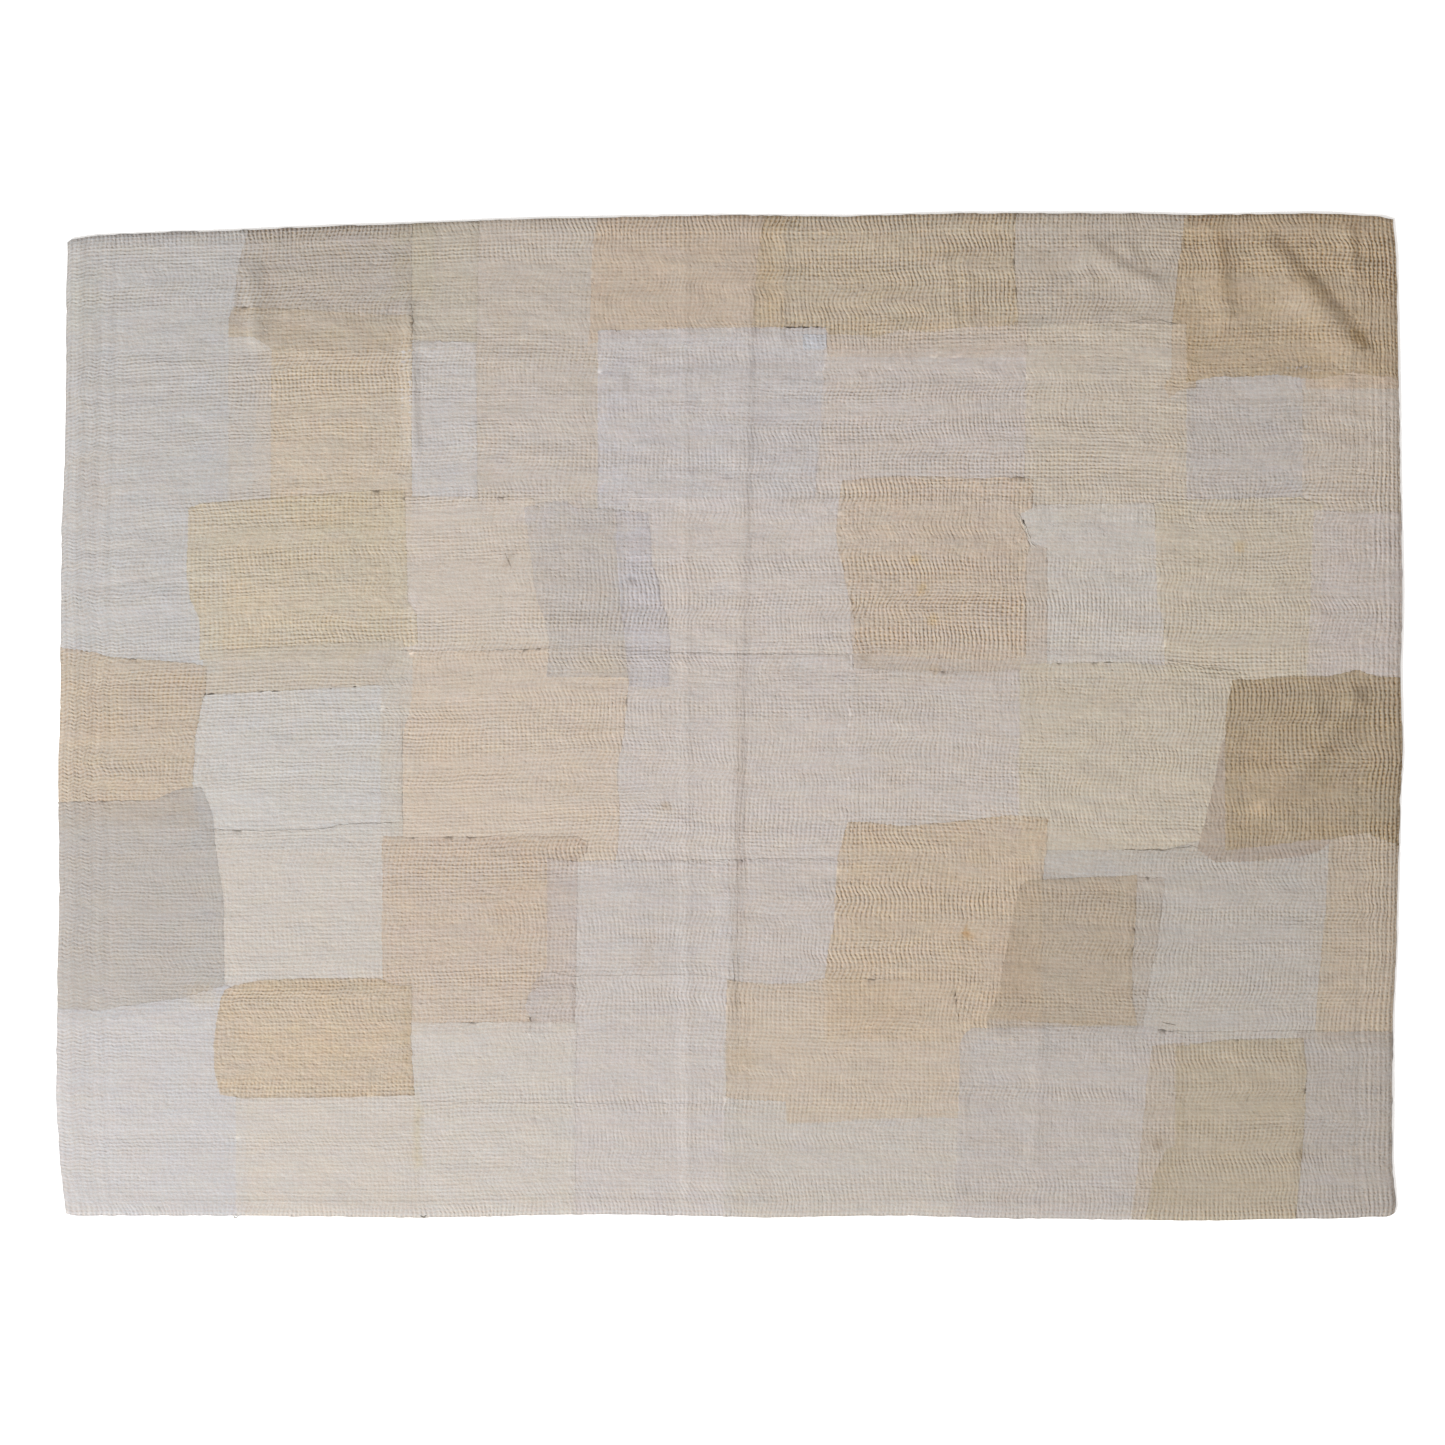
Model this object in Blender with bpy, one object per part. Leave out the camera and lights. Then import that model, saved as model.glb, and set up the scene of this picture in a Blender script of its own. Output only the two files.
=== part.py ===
# A kantha quilt lying flat: old cloths laid over one another and held together
# by rows of running stitch, so that the whole sheet is puckered into fine ridges.
# Metres, +Z up. +X runs along the long side, +Y along the short one.

import bmesh
import bpy
import numpy as np

# Thickness of the sheet
CLOTH_THICK = 0.0023      # the pressed layers, in the furrow that a stitch row pulls down
RIDGE_RISE = 0.0007       # puff of the cloth between two furrows
HEM_RISE = 0.0004         # the turned hem has a layer more
RIM_THICK = 0.0015        # the soft outer rim

# Quilting
STITCH_ROW = 0.0058       # from one row of running stitch to the next
ROWS_PER_RIDGE = 4        # stitch rows that one modelled ridge stands for
SIDE_SCALLOP = 0.0012     # how far a stitch row draws in the two short sides

# Hem widths
HEM_LEFT = 0.037
HEM_RIGHT = 0.045
HEM_LONG = 0.024
RIM_WIDTH = 0.006

# How far the edges lie from the middle, on the whole
LONG_EDGE = 0.745
SHORT_EDGE = 0.987

# Outline. A side has a row for each place where its edge bends:
# the place along the side, and how far the edge lies from the middle there.
TOP_EDGE = (
    (-0.986, 0.7050),
    (-0.978, 0.7115),
    (-0.937, 0.7167),
    (-0.818, 0.7212),
    (-0.550, 0.7316),
    (-0.283, 0.7420),
    (-0.015, 0.7465),
    (0.164, 0.7450),
    (0.342, 0.7495),
    (0.610, 0.7495),
    (0.699, 0.7470),
    (0.877, 0.7495),
    (0.967, 0.7450),
    (0.987, 0.7400),
)
BOTTOM_EDGE = (
    (-0.988, -0.7380),
    (-0.976, -0.7420),
    (-0.728, -0.7425),
    (-0.461, -0.7450),
    (-0.193, -0.7405),
    (0.074, -0.7450),
    (0.253, -0.7420),
    (0.431, -0.7465),
    (0.699, -0.7495),
    (0.877, -0.7465),
    (0.978, -0.7435),
    (0.990, -0.7360),
)
LEFT_EDGE = (
    (-0.740, -0.9870),
    (-0.726, -0.9890),
    (-0.659, -0.9970),
    (-0.560, -1.0015),
    (-0.391, -1.0000),
    (-0.257, -0.9970),
    (-0.090, -0.9985),
    (0.010, -0.9955),
    (0.278, -0.9940),
    (0.412, -0.9880),
    (0.613, -0.9865),
    (0.706, -0.9850),
)
RIGHT_EDGE = (
    (-0.738, 0.9895),
    (-0.726, 0.9910),
    (-0.659, 0.9855),
    (-0.458, 0.9865),
    (-0.324, 0.9925),
    (-0.123, 0.9970),
    (-0.057, 1.0015),
    (0.077, 0.9985),
    (0.178, 1.0015),
    (0.412, 0.9970),
    (0.680, 0.9925),
    (0.741, 0.9870),
)

# Main creases, one row each: both ends, the height of the crest, and how wide
# the slope is to the left of the way from start to end, and to the right of it.
CREASES = (
    # start x, start y, end x, end y, height, left slope, right slope
    (0.790, 0.722, 0.946, 0.546, 0.0100, 0.013, 0.034),
    (0.722, 0.715, 0.732, 0.598, 0.0040, 0.012, 0.024),
    (0.540, 0.696, 0.628, 0.643, 0.0040, 0.013, 0.026),
    (-0.474, 0.590, -0.468, 0.420, 0.0028, 0.007, 0.011),
    (0.030, 0.640, 0.002, -0.420, 0.0016, 0.010, 0.030),
    (0.776, -0.130, 0.915, -0.010, 0.0045, 0.020, 0.026),
)

CREASE_FADE = 0.035       # how soon a crease dies out past its ends
RIM_SHARP = 0.87          # radians; a steeper turn than this is shaded as an edge

# Columns of the sheet's grid, closer together where a crease needs them.
COLUMN_SPANS = (
    # from x, to x, columns between
    (-0.957, -0.520, 3),
    (-0.520, -0.430, 4),
    (-0.430, -0.030, 3),
    (-0.030, 0.045, 3),
    (0.045, 0.520, 3),
    (0.520, 0.640, 4),
    (0.640, 0.770, 4),
    (0.770, 0.955, 12),
)

# Slow waves of the stitch rows, as they drift up and down on their way across.
ROW_WAVES = (
    # rise, waves in a metre of x, waves in a metre of y, phase in turns
    (0.0060, 0.31, 0.28, 0.46),
    (0.0022, 0.90, -0.55, 0.10),
    (0.0009, 2.30, 0.80, 0.72),
)

CLOTH_COLOUR = (0.56, 0.49, 0.40, 1.0)
CLOTH_ROUGHNESS = 0.92


def clear_scene():
    for thing in list(bpy.data.objects):
        bpy.data.objects.remove(thing, do_unlink=True)


def eased(place, table):
    """Values of a two-column table at the given places, eased from row to row."""
    rows = np.array(table)
    place = np.clip(place, rows[0, 0], rows[-1, 0])
    upper = np.clip(np.searchsorted(rows[:, 0], place), 1, len(rows) - 1)
    start, end = rows[upper - 1], rows[upper]
    share = (place - start[:, 0]) / (end[:, 0] - start[:, 0])
    ease = share * share * (3.0 - 2.0 * share)
    return start[:, 1] + 0.5 * (share + ease) * (end[:, 1] - start[:, 1])


def column_places():
    """The x of every column of the grid, from the left rim to the right one."""
    places = [-SHORT_EDGE, -SHORT_EDGE + RIM_WIDTH]
    for start, end, count in COLUMN_SPANS:
        places.extend(np.linspace(start, end, count, endpoint=False))
    places.extend([COLUMN_SPANS[-1][1], SHORT_EDGE - RIM_WIDTH, SHORT_EDGE])
    return np.array(places)


def row_drift(x, y):
    """How far the stitch rows have drifted up at a place, none at the long edges."""
    fade = 1.0 - np.minimum(1.0, np.abs(y) / LONG_EDGE) ** 4
    waves = 0.0
    for rise, along, across, phase in ROW_WAVES:
        waves += rise * np.sin(2.0 * np.pi * (along * x + across * y + phase))
    return fade * waves


def crease_height(x, y):
    """Height of the creases: a soft bump across each, fading out at its ends."""
    total = np.zeros_like(x)
    for x0, y0, x1, y1, height, left_slope, right_slope in CREASES:
        run = np.hypot(x1 - x0, y1 - y0)
        along = ((x - x0) * (x1 - x0) + (y - y0) * (y1 - y0)) / run
        aside = ((y - y0) * (x1 - x0) - (x - x0) * (y1 - y0)) / run
        slope = np.where(aside > 0.0, left_slope, right_slope)
        past_end = np.maximum(np.maximum(-along, along - run), 0.0)
        end_fade = np.exp(-(past_end / CREASE_FADE) ** 2)
        total += height * end_fade * np.exp(-(aside / slope) ** 2)
    return total


def sheet_points(column, row, columns, rows):
    """Where the grid points lie on top of the sheet, one row of x, y, z for each."""
    across = column_places()[column]
    top = eased(across, TOP_EDGE)
    bottom = eased(across, BOTTOM_EDGE)
    y = bottom + row / rows * (top - bottom)
    left = eased(y, LEFT_EDGE)
    right = eased(y, RIGHT_EDGE)
    x = left + (across + SHORT_EDGE) / (2.0 * SHORT_EDGE) * (right - left)

    on_end_row = (row == 0) | (row == rows)
    on_side = (column == 0) | (column == columns)
    in_furrow = row % 2 == 0
    drawn_in = np.where(on_side & in_furrow & ~on_end_row, SIDE_SCALLOP, 0.0)
    x -= np.sign(x) * drawn_in
    y += np.where(on_end_row, 0.0, row_drift(x, y))

    from_long_edge = np.minimum(y - bottom, top - y)
    in_hem = (x - left < HEM_LEFT) | (right - x < HEM_RIGHT) | (from_long_edge < HEM_LONG)
    z = CLOTH_THICK + np.where(in_furrow, 0.0, RIDGE_RISE) + np.where(in_hem, HEM_RISE, 0.0)
    z = np.where(on_side | on_end_row, RIM_THICK, z + crease_height(x, y))
    return np.stack([x, y, z], axis=1)


def quilt_mesh():
    columns = len(column_places()) - 1
    rows = 2 * round(2.0 * LONG_EDGE / (STITCH_ROW * ROWS_PER_RIDGE))

    shape = bmesh.new()
    bmesh.ops.create_grid(shape, x_segments=columns, y_segments=rows, size=0.5)
    base_faces = shape.faces[:]
    raised = bmesh.ops.extrude_face_region(shape, geom=base_faces)
    top_points = {part for part in raised["geom"] if isinstance(part, bmesh.types.BMVert)}

    flat = np.array([point.co.to_tuple() for point in shape.verts])
    column = np.rint((flat[:, 0] + 0.5) * columns).astype(int)
    row = np.rint((flat[:, 1] + 0.5) * rows).astype(int)
    placed = sheet_points(column, row, columns, rows)
    for point, (x, y, z) in zip(shape.verts, placed):
        point.co = (x, y, z if point in top_points else 0.0)

    bmesh.ops.dissolve_faces(shape, faces=base_faces, use_verts=True)
    bmesh.ops.recalc_face_normals(shape, faces=shape.faces[:])

    mesh = bpy.data.meshes.new("quilt")
    shape.to_mesh(mesh)
    shape.free()
    mesh.shade_smooth()
    mesh.set_sharp_from_angle(angle=RIM_SHARP)
    return mesh


def cloth_material():
    material = bpy.data.materials.new("stitched_cotton")
    material.use_nodes = True
    shader = material.node_tree.nodes["Principled BSDF"]
    shader.inputs["Base Color"].default_value = CLOTH_COLOUR
    shader.inputs["Roughness"].default_value = CLOTH_ROUGHNESS
    shader.inputs["Metallic"].default_value = 0.0
    return material


def main():
    clear_scene()
    parts = bpy.data.collections.new("kantha_quilt")
    bpy.context.scene.collection.children.link(parts)
    mesh = quilt_mesh()
    mesh.materials.append(cloth_material())
    parts.objects.link(bpy.data.objects.new("quilt", mesh))


main()
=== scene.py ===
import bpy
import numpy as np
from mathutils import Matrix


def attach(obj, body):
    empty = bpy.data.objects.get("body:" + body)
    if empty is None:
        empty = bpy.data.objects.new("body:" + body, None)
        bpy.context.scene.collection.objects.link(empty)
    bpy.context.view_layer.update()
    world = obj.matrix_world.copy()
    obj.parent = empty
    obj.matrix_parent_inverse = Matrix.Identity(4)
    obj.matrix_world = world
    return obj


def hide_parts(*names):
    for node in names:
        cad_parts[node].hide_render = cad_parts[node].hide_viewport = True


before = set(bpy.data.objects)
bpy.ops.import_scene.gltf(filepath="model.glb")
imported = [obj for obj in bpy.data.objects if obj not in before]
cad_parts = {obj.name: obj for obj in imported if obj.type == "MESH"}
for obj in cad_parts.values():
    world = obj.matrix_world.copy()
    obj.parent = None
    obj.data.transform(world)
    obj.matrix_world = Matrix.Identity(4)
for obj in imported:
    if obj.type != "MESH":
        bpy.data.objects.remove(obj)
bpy.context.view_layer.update()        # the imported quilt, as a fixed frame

# A kantha quilt laid flat: old cotton patches sewn down by close rows of running stitch.
# Metres, +Z up; +X runs along the long side and +Y along the short one.


# The photo's frame, for everything that is placed in its pixels
photo = {
    "pixels": 1445,
    "metresPerPixel": 0.001487,
    "quiltMiddle": (729.5, 717.0),   # column and row over the quilt's middle
    "lightFall": (-0.146, -0.150),   # share of its light lost in a metre to the right, and upwards
    "tone": (1.0, 1.045, 1.085),     # of the dye, for what the shaded furrows take from it
}

# The sheet. Each edge table gives the place along the side and how far the edge is from the middle.
sheet = {
    "thick": 0.0023,           # in the furrow of a stitch row
    "puff": 0.0007,            # rise of the cloth between two rows
    "hemRise": 0.0004,
    "hemLeft": 0.037,
    "hemRight": 0.045,
    "hemLong": 0.024,
    "hemStep": 0.004,          # how wide the slope at the hem's inner edge is
    # ribs along the side hems: side, from one furrow between them to the next, its depth, how far in
    "hemRibs": [("left", 0.0215, 0.0009, 0.086), ("right", 0.0107, 0.0009, 0.050)],
    "rimHeight": 0.0009,       # of the rolled outer rim
    "rimRoll": 0.0045,         # how far in the rim has risen to the full thickness
    "layer": 0.0002,           # thickness of one patch
    "longEdge": 0.745,
    "shortEdge": 0.987,
    "topEdge": [(-0.986, 0.7050), (-0.978, 0.7115), (-0.937, 0.7167), (-0.818, 0.7212), (-0.550, 0.7316),
                (-0.283, 0.7420), (-0.015, 0.7465), (0.164, 0.7450), (0.342, 0.7495), (0.610, 0.7495),
                (0.699, 0.7470), (0.877, 0.7495), (0.967, 0.7450), (0.987, 0.7400)],
    "bottomEdge": [(-0.988, -0.7380), (-0.976, -0.7420), (-0.728, -0.7425), (-0.461, -0.7450),
                   (-0.193, -0.7405), (0.074, -0.7450), (0.253, -0.7420), (0.431, -0.7465),
                   (0.699, -0.7495), (0.877, -0.7465), (0.978, -0.7435), (0.990, -0.7360)],
    "leftEdge": [(-0.740, -0.9870), (-0.726, -0.9890), (-0.659, -0.9970), (-0.560, -1.0015),
                 (-0.391, -1.0000), (-0.257, -0.9970), (-0.090, -0.9985), (0.010, -0.9955),
                 (0.278, -0.9940), (0.412, -0.9880), (0.613, -0.9865), (0.706, -0.9850)],
    "rightEdge": [(-0.738, 0.9895), (-0.726, 0.9910), (-0.659, 0.9855), (-0.458, 0.9865),
                  (-0.324, 0.9925), (-0.123, 0.9970), (-0.057, 1.0015), (0.077, 0.9985),
                  (0.178, 1.0015), (0.412, 0.9970), (0.680, 0.9925), (0.741, 0.9870)],
    "slowWaves": 0.0009,       # height of the broad unevenness as it lies
    "slowSteps": (0.17, 0.13),   # metres from one wave to the next, along x and along y
    # soft lumps: stitches and rows from one to the next, and half their height
    "lumps": [(6.0, 2.6, 0.00036), (13.0, 5.0, 0.0005), (3.0, 6.0, 0.00016), (7.0, 1.1, 0.00022)],
    "lumpShare": (0.05, 1.25),   # of that height, anywhere and where it puckers
    "flatRim": 0.02,           # the lumps die out this near the rim
    # how strongly it puckers in the middle, and how much more a metre to the right and a metre up
    "pucker": (0.72, 0.20, 0.28),
}

# Where each of its random patterns starts
seeds = {"stitches": 41, "broad": 5, "shift": 11, "bends": 21, "hemPhase": 24, "knobs": 30, "pull": 32,
         "lumps": 51, "stainsAndShading": 61, "ribs": 71, "strayX": 81, "strayY": 91}

# The running stitch, and how its rows and stitches wander. A net of random knots is given by the
# stitches and rows from one knot to the next, and how much it moves.
quilting = {
    "rows": 257,
    "stitches": 312,
    # rise, waves in a metre of x, waves in a metre of y, phase in turns
    "rowWaves": [(0.0060, 0.31, 0.28, 0.46), (0.0022, 0.90, -0.55, 0.10), (0.0009, 2.30, 0.80, 0.72)],
    # middle x, middle y, half width, half height, how far the rows climb across it
    "rowLeans": [(-0.66, 0.24, 0.16, 0.26, 0.0120), (-0.80, -0.12, 0.10, 0.20, 0.0050),
                 (0.62, -0.20, 0.20, 0.22, -0.0060)],
    "rowBends": [(12.0, 4.5, 0.0014), (40.0, 9.0, 0.0018), (4.5, 3.0, 0.0008)],    # metres up
    # waves of the left hem's rows: length in stitches, size, from how far in, and to how far in
    "hemWave": (3.4, 0.0020, 0.006, 0.090),
    "hemPhase": [(7.0, 16.0, 0.5)],                                                # waves
    "stitchShift": [(34.0, 9.0, 0.80), (15.0, 4.2, 0.90), (90.0, 40.0, 1.60)],     # stitches along
    "sideFade": 0.060,         # that shift dies out this near the sides
    "loose": (0.11, 1.7),      # scatter of a stitch, in pitches, and the most in scatters
    "leastFace": 0.06,         # of a pitch square; a smaller triangle counts as folded
    "drawnIn": 0.0008,         # how far the rim is drawn in, and its knobs
    "rimKnobs": [(4.0, 4.0, 0.0006), (1.7, 1.7, 0.0010)],                          # metres
    "length": 0.0044,
    "width": 0.0012,
    "height": 0.00030,
}

# How tight the thread is pulled: at most places, by nets, by stitch, in a hem, and least and most
pull = {
    "mean": 0.85,
    "nets": [(46.0, 4.6, 0.55), (14.0, 2.6, 0.28), (120.0, 30.0, 0.18)],
    "scatter": 0.20,
    "hem": 1.35,
    "range": (0.10, 2.0),
    "hole": 0.00012,           # how much deeper a tight stitch lies, in metres
    "puff": (0.10, 0.80, 0.20, 0.18),   # rise of a puff: anywhere, by pucker, by pull, scatter
    "shade": 0.048,            # scatter of the dye from puff to puff
}

# How far the rows show over the columns, from 0 to 1
ribs = {
    "right": 0.34,
    "leftMore": 0.60,
    "change": (-0.32, 0.13),   # where it changes from left to right, and how soon
    "spot": (0.62, 0.42, 0.26, 0.20, 0.35),    # middle x and y, half width and height, how much more
    "nets": [(26.0, 9.0, 0.28), (9.0, 4.0, 0.26)],
    "hem": 0.25,               # share of it left in the hems
    "hemLong": 0.8,            # share of the long hems' width that counts as hem for this
    "turn": (0.12, 0.50),      # scatter, and below what the net's triangles meet along the columns
}

# Creases: both ends, the height of the crest, how wide the slope is to the left of the way and to the
# right of it, and how soon it dies out past its ends. The first three are one fold that bends twice.
creases = [
    # start x, start y, end x, end y, height, left slope, right slope, fade
    (0.802, 0.695, 0.848, 0.648, 0.0048, 0.017, 0.030, 0.016),
    (0.848, 0.648, 0.883, 0.606, 0.0066, 0.019, 0.034, 0.016),
    (0.883, 0.606, 0.932, 0.543, 0.0058, 0.018, 0.030, 0.016),
    (0.728, 0.700, 0.736, 0.600, 0.0036, 0.015, 0.024, 0.018),
    (0.552, 0.688, 0.628, 0.643, 0.0036, 0.012, 0.024, 0.022),
    (-0.474, 0.590, -0.468, 0.420, 0.0028, 0.007, 0.011, 0.035),
    (0.030, 0.640, 0.002, -0.420, 0.0014, 0.010, 0.030, 0.035),
    (0.798, -0.124, 0.876, -0.050, 0.0062, 0.012, 0.016, 0.020),
    (0.876, -0.050, 0.928, 0.026, 0.0050, 0.012, 0.016, 0.016),
    (0.830, -0.160, 0.876, -0.108, 0.0022, 0.010, 0.014, 0.020),
    (0.872, 0.016, 0.880, -0.060, 0.0018, 0.008, 0.011, 0.018),
    (0.922, 0.716, 0.930, 0.668, 0.0024, 0.008, 0.013, 0.012),
    (0.533, 0.700, 0.533, 0.653, 0.0020, 0.010, 0.014, 0.012),
    (0.588, 0.702, 0.611, 0.664, 0.0016, 0.010, 0.018, 0.012),
    (-0.712, 0.642, -0.706, 0.566, 0.0030, 0.022, 0.008, 0.020),
    (0.321, 0.672, 0.336, 0.583, 0.0014, 0.009, 0.013, 0.025),
    (0.352, 0.664, 0.358, 0.576, 0.0012, 0.008, 0.012, 0.025),
    (0.083, 0.722, 0.075, 0.568, 0.0012, 0.008, 0.012, 0.012),
    (-0.066, 0.715, -0.062, -0.720, 0.0006, 0.008, 0.008, 0.012),
    (0.461, -0.465, 0.455, -0.644, 0.0008, 0.009, 0.012, 0.030),
    (-0.475, 0.606, -0.455, 0.608, 0.0010, 0.004, 0.005, 0.006),
    (-0.476, 0.587, -0.452, 0.590, 0.0012, 0.004, 0.005, 0.006),
    (-0.474, 0.566, -0.454, 0.567, 0.0010, 0.004, 0.005, 0.006),
    (-0.473, 0.548, -0.450, 0.551, 0.0012, 0.004, 0.005, 0.006),
    (-0.472, 0.524, -0.455, 0.526, 0.0009, 0.004, 0.005, 0.006),
    (-0.472, 0.498, -0.452, 0.500, 0.0010, 0.004, 0.005, 0.006),
]
# Narrow troughs pressed into the top alone
presses = [
    (0.012, 0.040, 0.010, -0.535, 0.0003, 0.0026, 0.0026, 0.035),
    (0.041, 0.620, 0.027, 0.114, 0.0003, 0.003, 0.003, 0.035),
    (0.023, 0.040, 0.022, -0.275, 0.0003, 0.0026, 0.0026, 0.035),
    (-0.921, 0.196, -0.802, 0.219, 0.0008, 0.003, 0.004, 0.030),
    (0.824, 0.708, 0.868, 0.664, 0.0007, 0.005, 0.006, 0.015),
    (0.868, 0.664, 0.903, 0.622, 0.0008, 0.005, 0.006, 0.015),
    (0.903, 0.622, 0.951, 0.559, 0.0008, 0.005, 0.006, 0.015),
    (-0.484, 0.000, -0.484, -0.175, 0.0004, 0.003, 0.003, 0.020),
    (-0.083, 0.098, 0.180, 0.092, 0.0002, 0.003, 0.003, 0.020),
    (-0.172, -0.214, 0.157, -0.212, 0.0002, 0.003, 0.003, 0.020),
    (-0.757, -0.163, -0.500, -0.157, 0.0003, 0.003, 0.003, 0.020),
    (0.933, 0.100, 0.935, -0.180, 0.0008, 0.0036, 0.0036, 0.030),
    (0.934, 0.690, 0.930, 0.500, 0.0006, 0.0036, 0.0036, 0.030),
]


def fromPhoto(points):
    # Photo pixels to metres: to the right of the quilt's middle, and above it.
    points = np.asarray(points, float)
    middle = np.array(photo["quiltMiddle"])
    return (points - middle) * np.array([1.0, -1.0]) * photo["metresPerPixel"]


def linear(colour):
    # A colour as a screen shows it, 0 to 255, to the amounts of light that it stands for.
    share = np.asarray(colour, float) / 255.0
    return np.where(share <= 0.04045, share / 12.92, ((share + 0.055) / 1.055) ** 2.4)


def unlit(colour, place):
    # A colour as the photo shows it at a place, less the photo's own light there.
    return linear(colour) * np.array(photo["tone"]) / (1.0 + np.dot(photo["lightFall"], place))


def eased(place, table):
    # Between two rows of the table: half a straight line, half a smooth step.
    rows = np.array(table)
    place = np.clip(place, rows[0, 0], rows[-1, 0])
    upper = np.clip(np.searchsorted(rows[:, 0], place), 1, len(rows) - 1)
    start, end = rows[upper - 1], rows[upper]
    share = (place - start[..., 0]) / (end[..., 0] - start[..., 0])
    ease = share * share * (3.0 - 2.0 * share)
    return start[..., 1] + 0.5 * (share + ease) * (end[..., 1] - start[..., 1])


def unevenness(u, v, stepU, stepV, seed):
    # Random numbers from -1 to 1 at the knots of a net stepU by stepV wide, smooth in between.
    knots = np.random.default_rng(seed).uniform(-1.0, 1.0, (256, 256))
    a, b = u / stepU + 3.0, v / stepV + 3.0
    i, j = np.floor(a).astype(int), np.floor(b).astype(int)
    s, t = a - i, b - j
    s, t = s * s * (3.0 - 2.0 * s), t * t * (3.0 - 2.0 * t)
    i, j = i % 255, j % 255
    low = knots[j, i] + s * (knots[j, i + 1] - knots[j, i])
    high = knots[j + 1, i] + s * (knots[j + 1, i + 1] - knots[j + 1, i])
    return low + t * (high - low)


def unevenAt(x, y, stepX, stepY, seed):
    # The same for places in metres, counted from past the lower left corner
    return unevenness(x + 1.2, y + 1.2, stepX, stepY, seed)


def layered(u, v, nets, seed):
    # The sum of several such nets, each times its amount.
    return sum(amount * unevenness(u, v, stepU, stepV, seed + n)
               for n, (stepU, stepV, amount) in enumerate(nets))


def onSheet(u, v):
    # Stitch u of row v: a share of the way from the left edge to the right one and from the bottom
    # edge to the top one, then moved by the rows' slow waves and leans and the stitches' wandering.
    shareU = (u + 0.5) / quilting["stitches"]
    shareV = (v + 0.5) / quilting["rows"]
    across = sheet["shortEdge"] * (2.0 * shareU - 1.0)
    bottom, top = eased(across, sheet["bottomEdge"]), eased(across, sheet["topEdge"])
    y = bottom + shareV * (top - bottom)
    left, right = eased(y, sheet["leftEdge"]), eased(y, sheet["rightEdge"])
    fromSide = np.minimum(shareU, 1.0 - shareU) * 2.0 * sheet["shortEdge"]
    sideFade = np.clip(fromSide / quilting["sideFade"], 0.0, 1.0)
    shift = layered(u, v, quilting["stitchShift"], seeds["shift"])
    x = left + (shareU + sideFade * shift / quilting["stitches"]) * (right - left)

    waves = sum(rise * np.sin(2.0 * np.pi * (along * x + up * y + phase))
                for rise, along, up, phase in quilting["rowWaves"])
    for midX, midY, halfX, halfY, climb in quilting["rowLeans"]:
        waves = waves + climb * 0.5 * np.tanh((x - midX) / halfX) * np.exp(-((y - midY) / halfY) ** 2)
    waves = waves + layered(u, v, quilting["rowBends"], seeds["bends"])
    length, climb, start, end = quilting["hemWave"]
    phase = u / length + layered(u, v, quilting["hemPhase"], seeds["hemPhase"])
    fromLeft = shareU * 2.0 * sheet["shortEdge"]
    waves = waves + climb * np.sin(2.0 * np.pi * phase) * np.exp(-(fromLeft / end) ** 4) * (fromLeft > start)
    edgeFade = 1.0 - np.minimum(1.0, np.abs(y) / sheet["longEdge"]) ** 6
    return x, y + edgeFade * waves


def fromEdges(x, y):
    # How far a place is from the long sides, the left side and the right one.
    across = np.clip(x, -sheet["shortEdge"], sheet["shortEdge"])
    fromLong = np.minimum(y - eased(across, sheet["bottomEdge"]), eased(across, sheet["topEdge"]) - y)
    return fromLong, x - eased(y, sheet["leftEdge"]), eased(y, sheet["rightEdge"]) - x


def bumpsAlong(x, y, rows):
    # A soft bump across each crease: height times exp of minus the square of the way aside over the
    # slope, dying out past the two ends in the same way. Where two meet, the higher one counts.
    total = np.zeros_like(x)
    for x0, y0, x1, y1, height, leftSlope, rightSlope, fade in rows:
        run = np.hypot(x1 - x0, y1 - y0)
        along = ((x - x0) * (x1 - x0) + (y - y0) * (y1 - y0)) / run
        aside = ((y - y0) * (x1 - x0) - (x - x0) * (y1 - y0)) / run
        slope = np.where(aside > 0.0, leftSlope, rightSlope)
        pastEnd = np.maximum(np.maximum(-along, along - run), 0.0)
        total = np.maximum(total, height * np.exp(-(pastEnd / fade) ** 2 - (aside / slope) ** 2))
    return total


def liftAt(x, y):
    # How far the whole cloth lifts off what it lies on: the creases and the broad unevenness.
    broad = 0.5 + 0.5 * unevenAt(x, y, *sheet["slowSteps"], seeds["broad"])
    return bumpsAlong(x, y, creases) + sheet["slowWaves"] * broad ** 2


def puckerAt(x, y):
    # How strongly the sheet puckers at a place: most in the upper right, least in the lower left
    middle, right, up = sheet["pucker"]
    return middle + right * x + up * y


def topAt(x, y, lift):
    # The upper face in the furrows: the lift, the cloth's thickness and the hem's, less the presses
    # and the furrows of the hem's ribs, rolled off to the rim in a quarter round.
    fromLong, fromLeft, fromRight = fromEdges(x, y)
    hem = np.maximum.reduce([
        1.0 - np.clip((away - sheet[width]) / sheet["hemStep"], 0.0, 1.0)
        for away, width in ((fromLong, "hemLong"), (fromLeft, "hemLeft"), (fromRight, "hemRight"))])
    nearest = np.clip(np.minimum(np.minimum(fromLong, fromLeft), fromRight), 0.0, None)
    roll = np.sqrt(1.0 - (1.0 - np.clip(nearest / sheet["rimRoll"], 0.0, 1.0)) ** 2)
    full = sheet["thick"] + sheet["hemRise"] * hem - bumpsAlong(x, y, presses)
    for side, apart, depth, inward in sheet["hemRibs"]:
        away = fromLeft if side == "left" else fromRight
        trough = (0.5 - 0.5 * np.cos(2.0 * np.pi * away / apart)) ** 2 * (away < inward)
        full = full - depth * puckerAt(x, y) * trough
    return lift + sheet["rimHeight"] + (full - sheet["rimHeight"]) * roll


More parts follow.
